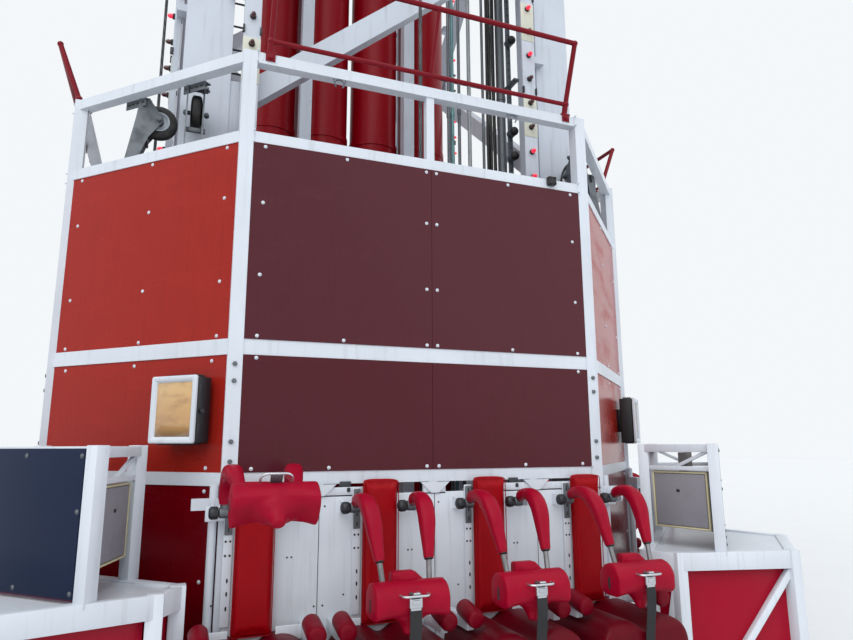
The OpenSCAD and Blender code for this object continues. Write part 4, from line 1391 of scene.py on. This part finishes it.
    def horn(self) -> Shell:
        """Horn between the thighs, with a round end.

        Half width = horn_r + 0.100 exp(-depth / 0.030); from front to back it is 0.82 of that.
        """
        tip = 0.012
        straight = self.horn_len - tip
        d = np.concatenate([np.linspace(0, straight, 16), straight + tip * np.sin(np.linspace(0, math.pi / 2, 6))[1:]])
        over = np.clip((d - straight) / tip, 0, 1)
        r = (self.horn_r + 0.100 * np.exp(-d / 0.030)) * np.sqrt(np.maximum(1 - over ** 2, 1e-6))
        a = around(36)
        deep = np.minimum(r, self.r * 0.9)[:, None] * 0.82
        z = np.broadcast_to((self.z - self.under + 0.030 - d)[:, None], (len(d), len(a)))
        ring = np.stack([r[:, None] * np.cos(a), deep * np.sin(a) - self.f - 0.006 - 0.10 * d[:, None], z], -1)
        return join([grid(ring, wrap_v=True), fan(ring[0])])

    def hump(self) -> Shell:
        """Trapezoid rest behind the roll, with rounded corners."""
        pts = np.array([(-0.070, -0.02), (0.100, -0.02), (0.100, 0.058), (0.038, 0.114), (-0.064, 0.114)])
        rounding = 0.010
        out = []
        for p, q, r in zip(np.roll(pts, 1, 0), pts, np.roll(pts, -1, 0)):
            u, v = (p - q) / np.linalg.norm(p - q), (r - q) / np.linalg.norm(r - q)
            out += [q + rounding * ((1 - t) ** 2 * u + t ** 2 * v) for t in np.linspace(0, 1, 5)]
        loop = np.array(out)
        mid = loop.mean(0)
        steps = [(0.0, 0.90), (0.003, 0.955), (0.007, 0.985), (0.013, 1.0), (0.046, 1.0), (0.050, 0.985),
                 (0.054, 0.955), (0.057, 0.90)]
        rings = np.stack([np.insert(mid + (loop - mid) * k, 1, -y, axis=1) for y, k in steps])
        return capped(rings).moved(at(0, -self.f + self.r - 0.010, self.z))

    def bars(self) -> dict[str, Shell]:
        """Bars from the arms' cut ends into the pad, a rim on each arm and a clip at each end of the pad."""
        path = self.arm_path()
        end = path[-1]
        down = (path[-1] - path[-2]) / np.linalg.norm(path[-1] - path[-2])
        tilt = math.degrees(math.atan2(-down[1], -down[2]))
        overlap, sink = 0.03, (0.012, 0.030)
        bars, rims = [], []
        for s in (-1, 1):
            a = (end - down * overlap) * (s, 1, 1)
            b = np.array([s * self.bar_x, -self.f + sink[0], self.z + sink[1]])
            bars.append(tube(a + (b - a) * np.linspace(0, 1, 6)[:, None], self.bar_r, 20, up=(1, 0, 0)))
            rims.append(self.cuff().moved(at(s * float(end[0]), float(end[1]), float(end[2])) @ spin(180 - tilt, "X")))
            clip = (s * (self.half + 0.0022), -self.f - 0.004, self.z - 0.004)
            rims.append(box((0.006, 0.016, 0.052), clip, 0.005, 2))
        return {"bars": join(bars), "rims": join(rims)}

    def handle(self) -> dict[str, Shell]:
        """Wire handle in front of the pad with its plate, button and studs, and a buckle with its tongue below."""
        front, z = -self.f - self.r, self.z + self.handle_z
        half, r, out = self.handle_half, 0.026, front - self.handle_out
        wire = np.concatenate([[(-half, front + 0.035)], arc(r, 180, 270, 7, (-half + r, out + r)),
                               arc(r, 270, 360, 7, (half - r, out + r)), [(half, front + 0.035)]])
        loop = tube(np.column_stack([wire, np.full(len(wire), z)]), 0.0048, 14, up=(0, 0, 1))
        plate = box((0.046, 0.052, 0.009), (0, front - 0.004, z + 0.001), 0.003, 2)
        button = box((0.030, 0.018, 0.010), (0, front - 0.016, z + 0.007), 0.003, 2)
        screw = lathe([(0.004, 0), (0.004, 0.007), (ON_AXIS, 0.008)], 8)
        studs = [screw.moved(at(x, front + 0.008, z + 0.004)) for x in (-0.014, 0.014)]
        buckle = join([box((0.056, 0.018, 0.040), (0, front - 0.008, z - 0.030), 0.006, 3),
                       box((0.034, 0.006, 0.018), (0, front - 0.0175, z - 0.026), 0.003, 2)])
        tongue = box((0.046, 0.007, 0.010), (0, front - 0.010, z - 0.053))
        return {"chrome": join([loop, button]), "plate": join([plate, *studs]), "buckle": buckle, "tongue": tongue}

    def hinge(self) -> dict[str, Shell]:
        """Levers with their hubs, which move with the arms, and the bosses, which stay on the seat back."""
        boss = lathe([(ON_AXIS, -0.020), (0.024, -0.020), (0.0275, -0.014), (0.028, 0.0), (0.028, 0.006),
                      (0.025, 0.014), (0.017, 0.019), (ON_AXIS, 0.020)], 28, Axis.X)
        bosses = [boss.moved(at(s * self.arm_x - 0.047, 0, 0) @ spin(180, "Z")) for s in (-1, 1)]
        root = self.arm_path()[:self.bare + 4]
        levers = [tube(root * (s, 1, 1), 0.019, 24, up=(1, 0, 0)) for s in (-1, 1)]
        hubs = [self.hub().moved(at(s * self.arm_x, 0, 0)) for s in (-1, 1)]
        return {"bosses": join(bosses), "levers": join(levers + hubs)}

    def strap(self) -> dict[str, Shell]:
        """Flat strap below the buckle: y = y0 + 0.030 t^2 - 0.003 sin(7 t), z = z0 - length t for t from 0 to 1."""
        t = np.linspace(0, 1, 30)
        z = (self.z + self.handle_z - 0.050) - self.strap_len * t
        y = -self.f - self.r - 0.010 + 0.030 * t ** 2 - 0.003 * np.sin(t * 7)
        section = [(-0.026, 0), (-0.0245, -0.0024), (0.0245, -0.0024), (0.026, 0), (0.0245, 0.0024), (-0.0245, 0.0024)]
        return {"strap": capped(np.stack([np.stack([np.full(len(t), x), y + d, z], -1) for x, d in section], 1))}

    def placed(self, x: float, angle: float) -> Matrix:
        """Hinge frame of one restraint."""
        return at(x, -RING.hinge_y, RING.hinge_z) @ spin(-angle, "X")

    def place(self) -> None:
        """Four restraints on bodies of their own, and three fixed rows."""
        pad = stuffed(self.pad_core(), 0.0075, 0.003, 2.0, 5)
        arm = self.arm()
        arms = join([arm, arm.moved(MIRROR_X)])
        pad = join([pad, self.hump()])
        bits = self.bars() | self.handle() | self.hinge() | self.strap()
        looks = {"bars": BAR_STEEL, "rims": BLACK_RUBBER_AND_HOLE_SHADE, "chrome": CHROME, "plate": GREY_STEEL, "buckle": CHROME,
                 "tongue": CHROME, "levers": GREY_STEEL, "strap": STRAP}
        worn = ("strap", "buckle", "tongue")
        rows: list[tuple[str, str, list[Matrix], bool]] = []
        for n, x in enumerate(RING.seat_xs()):
            raised = n == 0
            place = self.placed(x, self.lift if raised else 0.0)
            rows.append((f"front_{n + 1}", f"restraint_front_{n + 1}", [place], not raised))
        for side in (Side.RIGHT, Side.BACK, Side.LEFT):
            places = [turn(side) @ self.placed(x, 0.0) for x in RING.seat_xs()]
            rows.append((side.name.lower(), "carriage", places, True))
        for name, body, places, strapped in rows:
            obj = build("chest_pad_" + name, copies(pad, places), PAD_RED, body, smooth=70)
            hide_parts(body if body != "carriage" else "restraints_" + name)
            sleeves = build("shoulder_arms_" + name, copies(arms, places), PAD_RED, body, smooth=50)
            for key, finish in looks.items():
                if strapped or key not in worn:
                    build(f"restraint_{key}_{name}", copies(bits[key], places), finish, body)
        hinges = spread(TURNS, [(x, -RING.hinge_y, RING.hinge_z) for x in RING.seat_xs()])
        build("hinge_bosses", copies(bits["bosses"], hinges), DARK_STEEL)


@dataclass
class GuideWheels:
    """Rubber-tyred guide wheels with pressed rims and hubs, and the forks that hold them."""

    x: float = 1.24
    y: float = 1.435
    z: float = 3.44
    z_low: float = 0.86
    radius: float = 0.100
    width: float = 0.062

    def tyre(self) -> Shell:
        """Closed tyre section turned about x."""
        r, w = self.radius, self.width / 2
        outer = [(0.058, -w + 0.004), (0.070, -w + 0.001), (0.086, -w + 0.004), (r - 0.003, -w + 0.010),
                 (r - 0.0002, -w + 0.018)]
        loop = outer + [(x, -y) for x, y in outer[::-1]] + [(0.0565, w - 0.008), (0.0565, -w + 0.008)]
        return lathe(loop + loop[:1], 48, Axis.X)

    def rim(self) -> Shell:
        """Dished rim with a bright edge ring, open for the axle."""
        w = self.width / 2
        face = [(0.0135, 0.012), (0.024, 0.012), (0.030, 0.010), (0.044, 0.014), (0.049, w - 0.004), (0.054, w),
                (0.058, w - 0.003), (0.0575, 0.0)]
        return lathe([(x, -z) for x, z in face] + face[::-1], 40, Axis.X)

    def hub(self) -> Shell:
        """Hub drum with its end faces, open for the axle."""
        w = self.width / 2 - 0.003
        drum = lathe([(0.026, -w), (0.026, w)], 28, Axis.X)
        caps = [lathe([(0.026, w * s), (0.0145, w * s)], 28, Axis.X) for s in (-1, 1)]
        return join([drum, *caps])

    def place(self) -> None:
        """Three wheels on their own bodies, the rest as one set."""
        sorts = (("tyre", self.tyre(), TYRE), ("rim", self.rim(), WHITE), ("hub", self.hub(), GREY_STEEL))
        swap = Matrix(((0, 1, 0, 0), (1, 0, 0, 0), (0, 0, 1, 0), (0, 0, 0, 1)))
        high, low = at(-self.x, -self.y, self.z), at(-self.x, -self.y, self.z_low)
        own = {"guide_wheel_a": SAME, "guide_wheel_b": swap, "guide_wheel_c": turn(Side.RIGHT) @ swap}
        for name, m in own.items():
            for sort, shell, finish in sorts:
                obj = build(f"{name}_{sort}", shell.moved(m @ high), finish, name)
                if sort == "tyre":
                    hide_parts(name)
        frames = [m @ k for m in TURNS for k in (SAME, swap)]
        places = [m @ p for m in frames for p in (high, low) if p is low or m not in own.values()]
        for sort, shell, finish in sorts:
            obj = build(f"wheel_set_{sort}s", copies(shell, places), finish)
            if sort == "tyre":
                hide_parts("guide_wheels")
        self.forks([m @ p for m in frames for p in (high, low)])

    def forks(self, places: list[Matrix]) -> None:
        """Tapered side plates from the rail below up past the axle, with a top yoke and a cross bar.

        Args:
            places: wheel centres; -y of each leads away from the mast.
        """
        thick = 0.008
        outline = np.array([(-0.050, 0.108), (-0.108, 0.108), (-0.120, 0.0), (-0.164, -0.272), (-0.104, -0.272),
                            (-0.052, -0.120), (0.004, -0.036), (0.022, -0.012), (0.022, 0.014), (0.004, 0.034)])
        plate = prism(outline, thick).moved(MIRROR_X @ spin(90, "Z"))
        gap = self.width / 2 + 0.016
        nut = lathe([(0.019, 0.0), (0.019, 0.012), (0.015, 0.014), (ON_AXIS, 0.014)], 6)
        axle, reach = 0.012, gap + 0.022
        parts = [plate.moved(at(gap - thick, 0, 0)), plate.moved(at(-gap, 0, 0)),
                 box((2 * gap + 0.020, 0.054, 0.016), (0, -0.079, 0.112), 0.003),
                 box((2 * gap + 0.012, 0.018, 0.026), (0, -0.060, -0.128), 0.003),
                 lathe([(ON_AXIS, -reach), (axle, -reach), (axle, reach), (ON_AXIS, reach)], 16, Axis.X),
                 *(nut.moved(at(k * (gap + 0.002), 0, 0) @ spin(90 * k, "Y")) for k in (-1, 1))]
        obj = build("fork_plates", copies(join(parts), places), GREY_STEEL, smooth=25)
        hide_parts("guide_forks")
        angle = join([box(size, (x, y, z)) for size, ends, y, z in
                      (((0.15, 0.006, 0.050), 0.215, 0.034, 3.528), ((0.15, 0.048, 0.006), 0.215, 0.056, 3.551),
                       ((0.05, 0.10, 0.012), 0.205, 0.09, 3.556)) for x in (-ends, ends)])
        build("fork_carriers", copies(angle, CORNERS), GREY_STEEL)
        # The black blocks stand for the slots in the carrier angles: painted shade in the openings.
        holes = [(s * x, 0.0305, 3.528) for s in (-1, 1) for x in np.arange(0.165, 0.28, 0.034)]
        build("carrier_slots", copies(block((0.024, 0.004, 0.010), 0.0015, 1), spread(CORNERS, holes)), BLACK_RUBBER_AND_HOLE_SHADE)


@dataclass
class Floodlights:
    """Floodlights: bevelled white frames, glass, hinge knobs and finned cases."""

    x: float = 0.395
    w: float = 0.270
    z0: float = 1.612
    z1: float = 1.922
    face: float = 0.138

    def place(self) -> None:
        """Frame loops run from the outer edge over a bevel to the glass."""
        w, h, zc = self.w / 2, (self.z1 - self.z0) / 2, (self.z0 + self.z1) / 2
        steps = [(0.0, 0.0), (0.0, -0.010), (0.004, -0.014), (0.014, -0.015), (0.024, -0.010), (0.030, -0.003),
                 (0.030, 0.004)]
        rings = [rounded(w - inset, h - inset, max(0.010 - inset * 0.2, 0.003), 4, y) for inset, y in steps]
        frame_shell = grid(np.array(rings), wrap_v=True)
        glass = block((self.w - 0.056, 0.004, self.z1 - self.z0 - 0.056), 0.0015, 1)
        places = spread(CORNERS, [(self.x, -self.face, zc)])
        build("lamp_frames", copies(frame_shell, places), WHITE, smooth=30)
        build("lamp_glass", copies(glass, places), LENS)
        knob = lathe([(0.004, 0.0), (0.004, 0.014), (0.011, 0.015), (0.011, 0.023), (ON_AXIS, 0.024)], 14)
        knobs = [knob.moved(at(w - 0.001, 0.02, -0.01) @ spin(90, "Y"))]
        knobs += [box((0.008, 0.018, 0.05), (w, 0.02, z)) for z in (-0.09, 0.09)]
        build("lamp_knobs", copies(join(knobs), places), DARK_STEEL)
        depth = self.face - RING.corner_panel_y - 0.030
        case = [box((self.w - 0.004, depth, self.z1 - self.z0 - 0.004), (0.005, 0.004 + depth / 2, -0.003), 0.008, 2),
                box((0.10, 0.030, 0.16), (0, depth + 0.018, 0), 0.004)]
        fin = (self.w - 0.05, 0.006, 0.010)
        case += [box(fin, (0.004, 0.020 + 0.014 * k, s * (h + 0.001))) for k in range(4) for s in (-1, 1)]
        obj = build("lamp_cases", copies(join(case), places), LAMP_CASE)
        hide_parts("floodlights")


@dataclass
class Stands:
    """Corner stands with their sign boxes, blank boards and loudspeakers."""

    height: float = 1.04
    tube: float = 0.060
    beam_h: float = 0.090
    box_h: float = 0.565
    hw: float = 0.516
    y: float = 0.629
    back_hw: float = 0.311
    back_y: float = 0.247
    post: float = 0.058
    beam: float = 0.044
    plan: tuple[tuple[float, float], ...] = ((-1.192, -2.053), (-1.275, -2.186), (-1.893, -2.352))

    def points(self) -> list[tuple[float, float]]:
        """Plan corners: three and their mirror about the diagonal."""
        return list(self.plan) + [(y, x) for x, y in reversed(self.plan)]

    def bar(self, a: Point, b: Point, w: float, h: float) -> Shell:
        """Square tube between two points, w across and h high, with soft edges."""
        a, b = np.array(a, float), np.array(b, float)
        d = b - a
        m = Matrix.Translation((a + b) / 2) @ Matrix.Rotation(math.atan2(d[1], d[0]), 4, "Z") @ Matrix.Rotation(
            -math.atan2(d[2], math.hypot(d[0], d[1])), 4, "Y")
        return block((float(np.linalg.norm(d)), w, h), 0.003, 1).moved(m)

    def legs(self) -> Shell:
        """Legs, upper and lower beams, diagonals and deck of one stand."""
        pts = self.points()
        beam_z = self.height - self.beam_h / 2
        leg = self.tube + 0.004
        parts = []
        for i, p in enumerate(pts):
            q = pts[(i + 1) % len(pts)]
            parts.append(box((leg, leg, self.height + 0.002), (*p, self.height / 2 + 0.001), 0.004))
            parts.append(self.bar((*p, beam_z), (*q, beam_z), self.tube, self.beam_h))
            parts.append(self.bar((*p, 0.13), (*q, 0.13), 0.05, 0.05))
            if i < 5:
                a, b = (p, q) if i < 3 else (q, p)
                parts.append(self.bar((*a, 0.15), (*b, self.height - self.beam_h + 0.01), 0.036, 0.036))
            parts.append(box((0.11, 0.11, 0.012), (*p, 0.006)))
        deck = np.array([[(*p, self.height - down) for p in pts] for down in (0.020, 0.008)])
        return join([*parts, capped(deck)])

    def sign_frame(self) -> Shell:
        """Open frame of the sign box in the corner frame, wider in front than behind."""
        top = self.height + self.box_h
        post_h = self.box_h + 0.02
        pts = [(self.hw, -self.y), (self.back_hw, -self.back_y), (-self.back_hw, -self.back_y), (-self.hw, -self.y)]
        parts = [box((self.post, self.post, post_h), (*p, top - post_h / 2), 0.003) for p in pts]
        beam_z = top - self.beam / 2 - 0.004
        parts += [self.bar((*p, beam_z), (*q, beam_z), self.beam, self.beam) for p, q in zip(pts, pts[1:] + pts[:1])]
        for p, q in (pts[:2], pts[2:]):
            parts.append(self.bar((*p, top - 0.138), (*q, top - 0.138), 0.024, 0.024))
            m = np.array(p) * 0.55 + np.array(q) * 0.45
            parts.append(self.bar((*m, top - 0.135), (*q, top - 0.03), 0.018, 0.018))
        return join(parts)

    def face(self, side: Side, mirrored: bool) -> Matrix:
        """Side face of a sign box: x to the back post, y into the box."""
        flip = MIRROR_X if mirrored else SAME
        angle = math.degrees(math.atan2(self.y - self.back_y, self.back_hw - self.hw))
        return corner(side) @ flip @ at(self.hw, -self.y, 0) @ spin(angle, "Z")

    def infill(self) -> Shell:
        """Sheets between the legs and the board of the sign box."""
        pts = np.array(self.points())
        top, foot = self.height - self.beam_h, 0.155
        middle = (top + foot) / 2
        parts = []
        for p, q in zip(pts, pts[1:]):
            d = (q - p) / np.linalg.norm(q - p)
            out = np.array([d[1], -d[0]])
            out = out * np.sign(out @ p)
            a, b = p + d * 0.034 - out * 0.022, q - d * 0.034 - out * 0.022
            parts.append(self.bar((*a, middle), (*b, middle), 0.006, top - foot))
        tall = self.box_h - 0.016
        board = box((2 * self.hw - self.post - 0.008, 0.008, tall),
                    (0, -self.y - self.beam / 2 - 0.004, self.height + 0.004 + tall / 2))
        return join([*parts, board.moved(corner(Side.FRONT))])

    def place(self) -> None:
        """Frames, sheets, speakers, grilles and screws."""
        tubes = join([self.legs(), self.sign_frame().moved(corner(Side.FRONT))])
        obj = build("stand_tubes", copies(tubes, TURNS), WHITE, "mast")
        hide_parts("corner_stand_frames")
        obj = build("stand_sheets", copies(self.infill(), TURNS), STAND_PANEL, "mast")
        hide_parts("corner_stand_panels")
        length = math.hypot(self.hw - self.back_hw, self.y - self.back_y)
        z0, z1 = self.height + 0.104, self.height + self.box_h - 0.164
        top = self.height + self.box_h - 0.05
        w, h = length - 0.058 - 0.052, z1 - z0
        xm, zm = length / 2, (z0 + z1) / 2
        case = join([box((w + 0.02, 0.11, h + 0.02), (xm, 0.066, zm), 0.008, 2),
                     box((0.05, 0.02, top - z1), (xm, 0.06, (z1 + top) / 2), 0.003)])
        grille = box((w - 0.012, 0.006, h - 0.012), (xm, 0.0065, zm))
        edges = [box((0.009, 0.014, h + 0.012), (xm + s * (w / 2 + 0.002), 0.009, zm)) for s in (-1, 1)]
        edges += [box((w + 0.012, 0.014, 0.009), (xm, 0.009, z)) for z in (z0 - 0.002, z1 + 0.002)]
        button = box((0.020, 0.003, 0.014), (xm + 0.01, 0.002, zm + 0.05), 0.001)
        faces = [self.face(s, m) for s in Side for m in (False, True)]
        obj = build("speaker_cases", copies(case, faces), SPEAKER_CASE, "mast")
        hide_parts("loudspeakers")
        build("speaker_grilles", copies(grille, faces), GRILLE, "mast")
        build("speaker_edges", copies(join(edges), faces), CREAM, "mast")
        build("speaker_studs", copies(button, faces), DARK_STEEL, "mast")
        board_y = -self.y - self.beam / 2 - 0.008
        zs = (self.height + 0.03, self.height + self.box_h - 0.04)
        spots = [(x, board_y, z) for x in (-0.47, -0.16, 0.16, 0.47) for z in zs]
        spots += [(x, board_y, self.height + 0.32) for x in (-0.47, 0.47)]
        screw = Fasteners(radius=0.008, rise=0.004).dome()
        build("board_screws", copies(screw, spread(CORNERS, spots)), GREY_STEEL, "mast")


@dataclass
class SeatBacks:
    """Back panels with their hinge lugs, hole strips, slotted plates, gussets and bolster brackets."""

    half: float = 1.004
    z0: float = 0.600
    z1: float = 1.404
    notch: float = 0.034
    lug_x: float = 0.189
    strip_x: float = -0.114
    bracket_z: float = 0.800

    def panel(self) -> Shell:
        """Panel between the posts, notched at its top beside the middle."""
        y, t = -RING.back_face + 0.010, 0.020
        top = self.z1 - self.notch
        side = self.half - 0.24
        step_h, step_z = self.notch + 0.01, self.z1 - self.notch / 2 - 0.005
        parts = [box((2 * self.half, t, top - self.z0), (0, y, (top + self.z0) / 2)),
                 box((0.12, t, step_h), (0, y, step_z))]
        parts += [box((side, t, step_h), (s * (0.24 + side / 2), y, step_z)) for s in (-1, 1)]
        return join(parts)

    def lugs(self) -> Shell:
        """Lug plates out to the hinges, and an angle at each end that carries the outer one from its post."""
        reach = RING.hinge_y - RING.back_face
        out = np.concatenate([arc(0.024, -90, 90, 12, (reach, 0.0)), [(-0.004, 0.030), (-0.004, -0.030)]])
        lug = prism(out, 0.012).moved(spin(-90, "Z"))
        xs = [x + s * self.lug_x + 0.006 for x in RING.seat_xs() for s in (-1, 1)]
        parts = [lug.moved(at(x, -RING.back_face, RING.hinge_z)) for x in xs]
        for s in (-1, 1):
            parts.append(box((0.090, 0.010, 0.066), (s * 1.050, -RING.back_face + 0.002, RING.hinge_z - 0.010), 0.003))
            parts.append(upright(s * 1.060, -1.888, 0.56, 1.43, 6, 0.019))
        return join(parts)

    def place(self) -> None:
        """Panels first, then the small steelwork on them."""
        obj = build("back_panels", copies(join([self.panel(), self.lugs()]), TURNS), WHITE)
        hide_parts(*("seat_backs_" + name for name in SIDE_NAMES))
        face = -RING.back_face
        xs = RING.seat_xs()
        strips = [x + self.strip_x for x in xs]
        white = [box((0.040, 0.010, 0.572), (x, face - 0.0055, 1.115)) for x in strips]
        gusset = prism([(-0.078, 1.419), (0.078, 1.419), (0.020, 1.366), (-0.020, 1.366)], 0.008)
        white += [gusset.moved(at(x, face - 0.001, 0)) for x in (-RING.pitch, 0.0, RING.pitch)]
        build("back_strips", copies(join(white), TURNS), WHITE)
        z = self.bracket_z
        ends = [(x, s) for x in xs for s in (-1, 1)]
        brackets = [box((0.145, 0.010, 0.060), (x + s * 0.1735, face - 0.055, z - 0.005), 0.003) for x, s in ends]
        brackets += [box((0.036, 0.262, 0.050), (x + s * 0.228, face - 0.131, z), 0.004) for x, s in ends]
        build("bolster_brackets", copies(join(brackets), TURNS), WHITE)
        plates = [box((0.034, 0.008, 0.184), (x, face - 0.0135, 1.304), 0.004) for x in strips]
        build("hinge_plates", copies(join(plates), TURNS), GREY_STEEL)
        # The black slots and discs stand for the openings in the hinge plates and hole strips: painted shade in the
        # holes.
        slots = ((1.370, 0.030), (1.300, 0.060), (1.235, 0.022))
        holes = [box((0.008, 0.003, h), (x, face - 0.0180, z), 0.003, 2) for x in strips for z, h in slots]
        disc = stud([(0.0052, 0.0), (0.0052, 0.0012), (ON_AXIS, 0.0012)], 12)
        dot_y = face - 0.0105
        holes += [disc.moved(at(x + dx, dot_y, z)) for x in strips for dx in (-0.009, 0.010) for z in (1.185, 1.125)]
        tall = Matrix.Diagonal((0.8, 1, 2.0, 1))
        holes += [disc.moved(at(x + 0.004, dot_y, z) @ tall) for x in strips for z in (1.02, 0.965, 0.905)]
        build("strip_holes", copies(join(holes), TURNS), BLACK_RUBBER_AND_HOLE_SHADE)
        splits = [box((0.003, 0.002, 0.80), (x, face - 0.0008, 1.0), 0.0008) for x in (-RING.pitch, -0.002, RING.pitch)]
        build("panel_splits", copies(join(splits), TURNS), BLACK_RUBBER_AND_HOLE_SHADE)


@dataclass
class ServicePipes:
    """Pipe run inside the front right column: pipes, a hose bundle, a perforated strap and domed devices."""

    y: float = -0.90
    z0: float = 0.25
    pipes: tuple[tuple[float, float], ...] = ((0.512, 0.013), (0.480, 0.012), (0.425, 0.012), (0.340, 0.015),
                                              (0.222, 0.011), (0.062, 0.033))
    hoses: tuple[tuple[float, float], ...] = ((-0.014, -0.010), (0.010, -0.020), (0.026, -0.004), (-0.030, 0.004),
                                              (-0.004, 0.010))
    spots: tuple[float, ...] = (3.34, 3.75, 3.95, 4.72, 5.90)

    def run(self) -> Shell:
        """Pipes with their sleeves, the brackets that carry them, and the drums on their strap."""
        right = MAST.col_in
        parts = []
        for dx, r in self.pipes:
            parts.append(upright(right - dx, self.y, self.z0, MAST.height - 0.45, 12, r))
            sleeve = lathe([(r + 0.0005, -0.02), (r + 0.004, -0.016), (r + 0.004, 0.016), (r + 0.0005, 0.02)], 20)
            parts += [sleeve.moved(at(right - dx, self.y, z)) for z in (1.9 + dx, 4.3 - dx * 0.5, 6.7 + dx, 9.0)]
        for z in np.arange(0.55, 10.9, MAST.bay):
            parts += [box((0.560, 0.022, 0.018), (right - 0.284, self.y + 0.026, float(z)), 0.003),
                      box((0.044, 0.225, 0.018), (right - 0.022, self.y - 0.070, float(z)), 0.003)]
        parts.append(box((0.040, 0.010, 2.80), (right - 0.020, self.y - 0.055, 4.60)))
        drum = lathe([(ON_AXIS, 0.0), (0.032, 0.0), (0.032, 0.058), (0.029, 0.060), (ON_AXIS, 0.060)], 28)
        drum = drum.moved(spin(90, "X"))
        return join(parts + [drum.moved(at(right - 0.022, self.y - 0.058, z)) for z in self.spots])

    def place(self) -> None:
        """Hoses wave a little: x = x0 + 0.004 sin(2.1 z + n), y = y0 + 0.003 cos(1.7 z + n) for hose n."""
        right = MAST.col_in
        obj = build("pipe_tubes", self.run(), PIPES, "mast")
        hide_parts("service_pipes")
        z = np.linspace(0.45, MAST.height - 0.6, 150)
        hoses = []
        for n, (dx, dy) in enumerate(self.hoses):
            x = right - 0.150 + dx + 0.004 * np.sin(z * 2.1 + n)
            hoses.append(tube(np.stack([x, self.y + dy + 0.003 * np.cos(z * 1.7 + n), z], -1), 0.011, 10, up=(0, 1, 0)))
        build("hose_bundle", join(hoses), BLACK_RUBBER_AND_HOLE_SHADE, "mast")
        dome = lathe([(0.033, 0.0), (0.034, 0.004), (0.030, 0.018), (0.020, 0.029), (0.008, 0.034),
                      (ON_AXIS, 0.035)], 26)
        domes = copies(dome.moved(spin(90, "X")), [at(right - 0.022, self.y - 0.118, z) for z in self.spots])
        build("warning_domes", domes, BLACK_RUBBER_AND_HOLE_SHADE, "mast")
        # The black discs stand for the strap's holes: painted shade in the openings.
        hole = stud([(0.007, 0.0), (0.007, 0.001), (ON_AXIS, 0.001)], 12)
        holes = copies(hole, [at(right - 0.020, self.y - 0.0602, float(z)) for z in np.arange(3.24, 5.97, 0.06)])
        build("strap_holes", holes, BLACK_RUBBER_AND_HOLE_SHADE, "mast")


@dataclass
class MastDetails:
    """Gusset plates where braces meet columns, a ladder, and bands on the launch cylinders."""

    ladder_y: float = 1.130
    rails: tuple[float, float] = (-1.000, -0.620)

    def place(self) -> None:
        """Gussets alternate from one column to the other, bay by bay."""
        plate = prism([(-0.11, -0.20), (0.11, -0.20), (0.11, 0.20), (-0.11, 0.20)], 0.012)
        bolt = stud([(0.009, 0.0), (0.009, 0.005), (0.0075, 0.006), (ON_AXIS, 0.006)], 6)
        bolts = copies(bolt, [at(x, -0.012, z) for x in (-0.07, 0.07) for z in (-0.15, -0.05, 0.05, 0.15)])
        reach = MAST.col_in - 0.03
        nodes = spread(TURNS, [(reach * (-1) ** k, -MAST.half + 0.0195, 1.65 + MAST.bay * k) for k in range(6)])
        build("brace_gussets", copies(plate, nodes), MAST_WHITE, "mast", smooth=25)
        build("brace_bolts", copies(bolts, nodes), GREY_STEEL, "mast", smooth=25)
        y, middle = self.ladder_y, sum(self.rails) / 2
        rails = [upright(x, y, 0.0, 11.30, 30, 0.016, 14, (1.0, 0.0, 0.0)) for x in self.rails]
        span = (self.rails[0], middle, self.rails[1])
        steps = [np.array([(x, y, z) for x in span]) for z in np.arange(0.30, 11.2, 0.26)]
        rungs = [tube(step, 0.010, 12, up=(0, 0, 1)) for step in steps]
        ties = [box((0.100, 0.030, 0.008), (-1.045, y, 0.9 + MAST.bay * k)) for k in range(6)]
        build("mast_ladder", join([*rails, *rungs, *ties]), DARK_STEEL, "mast")
        collar = lathe([(0.2005, -0.03), (0.207, -0.026), (0.207, 0.026), (0.2005, 0.03)], 48)
        bands = [at(x, 0, 2.2 + MAST.bay * k) for x in (-0.66, -0.22, 0.22, 0.66) for k in range(5)]
        build("cylinder_collars", copies(collar, bands), CRIMSON, "mast")


def main() -> None:
    """Builds the scene in order and logs the number of faces."""
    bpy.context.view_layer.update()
    Stage().place()
    for part in (FrameFinishes(), Fasteners(), FrameDressing(), LightStrips(), HoistRopes(), BackPads(), Seats(),
                 Restraint(), GuideWheels(), Floodlights(), Stands(), SeatBacks(), ServicePipes(), MastDetails()):
        LOG.info("sub-assembly %s", type(part).__name__)
        part.place()
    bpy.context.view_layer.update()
    faces = sum(len(o.data.polygons) for o in bpy.data.objects if o.type == "MESH" and not o.hide_render)
    LOG.info("faces in all: %d", faces)


if __name__ == "__main__":
    main()
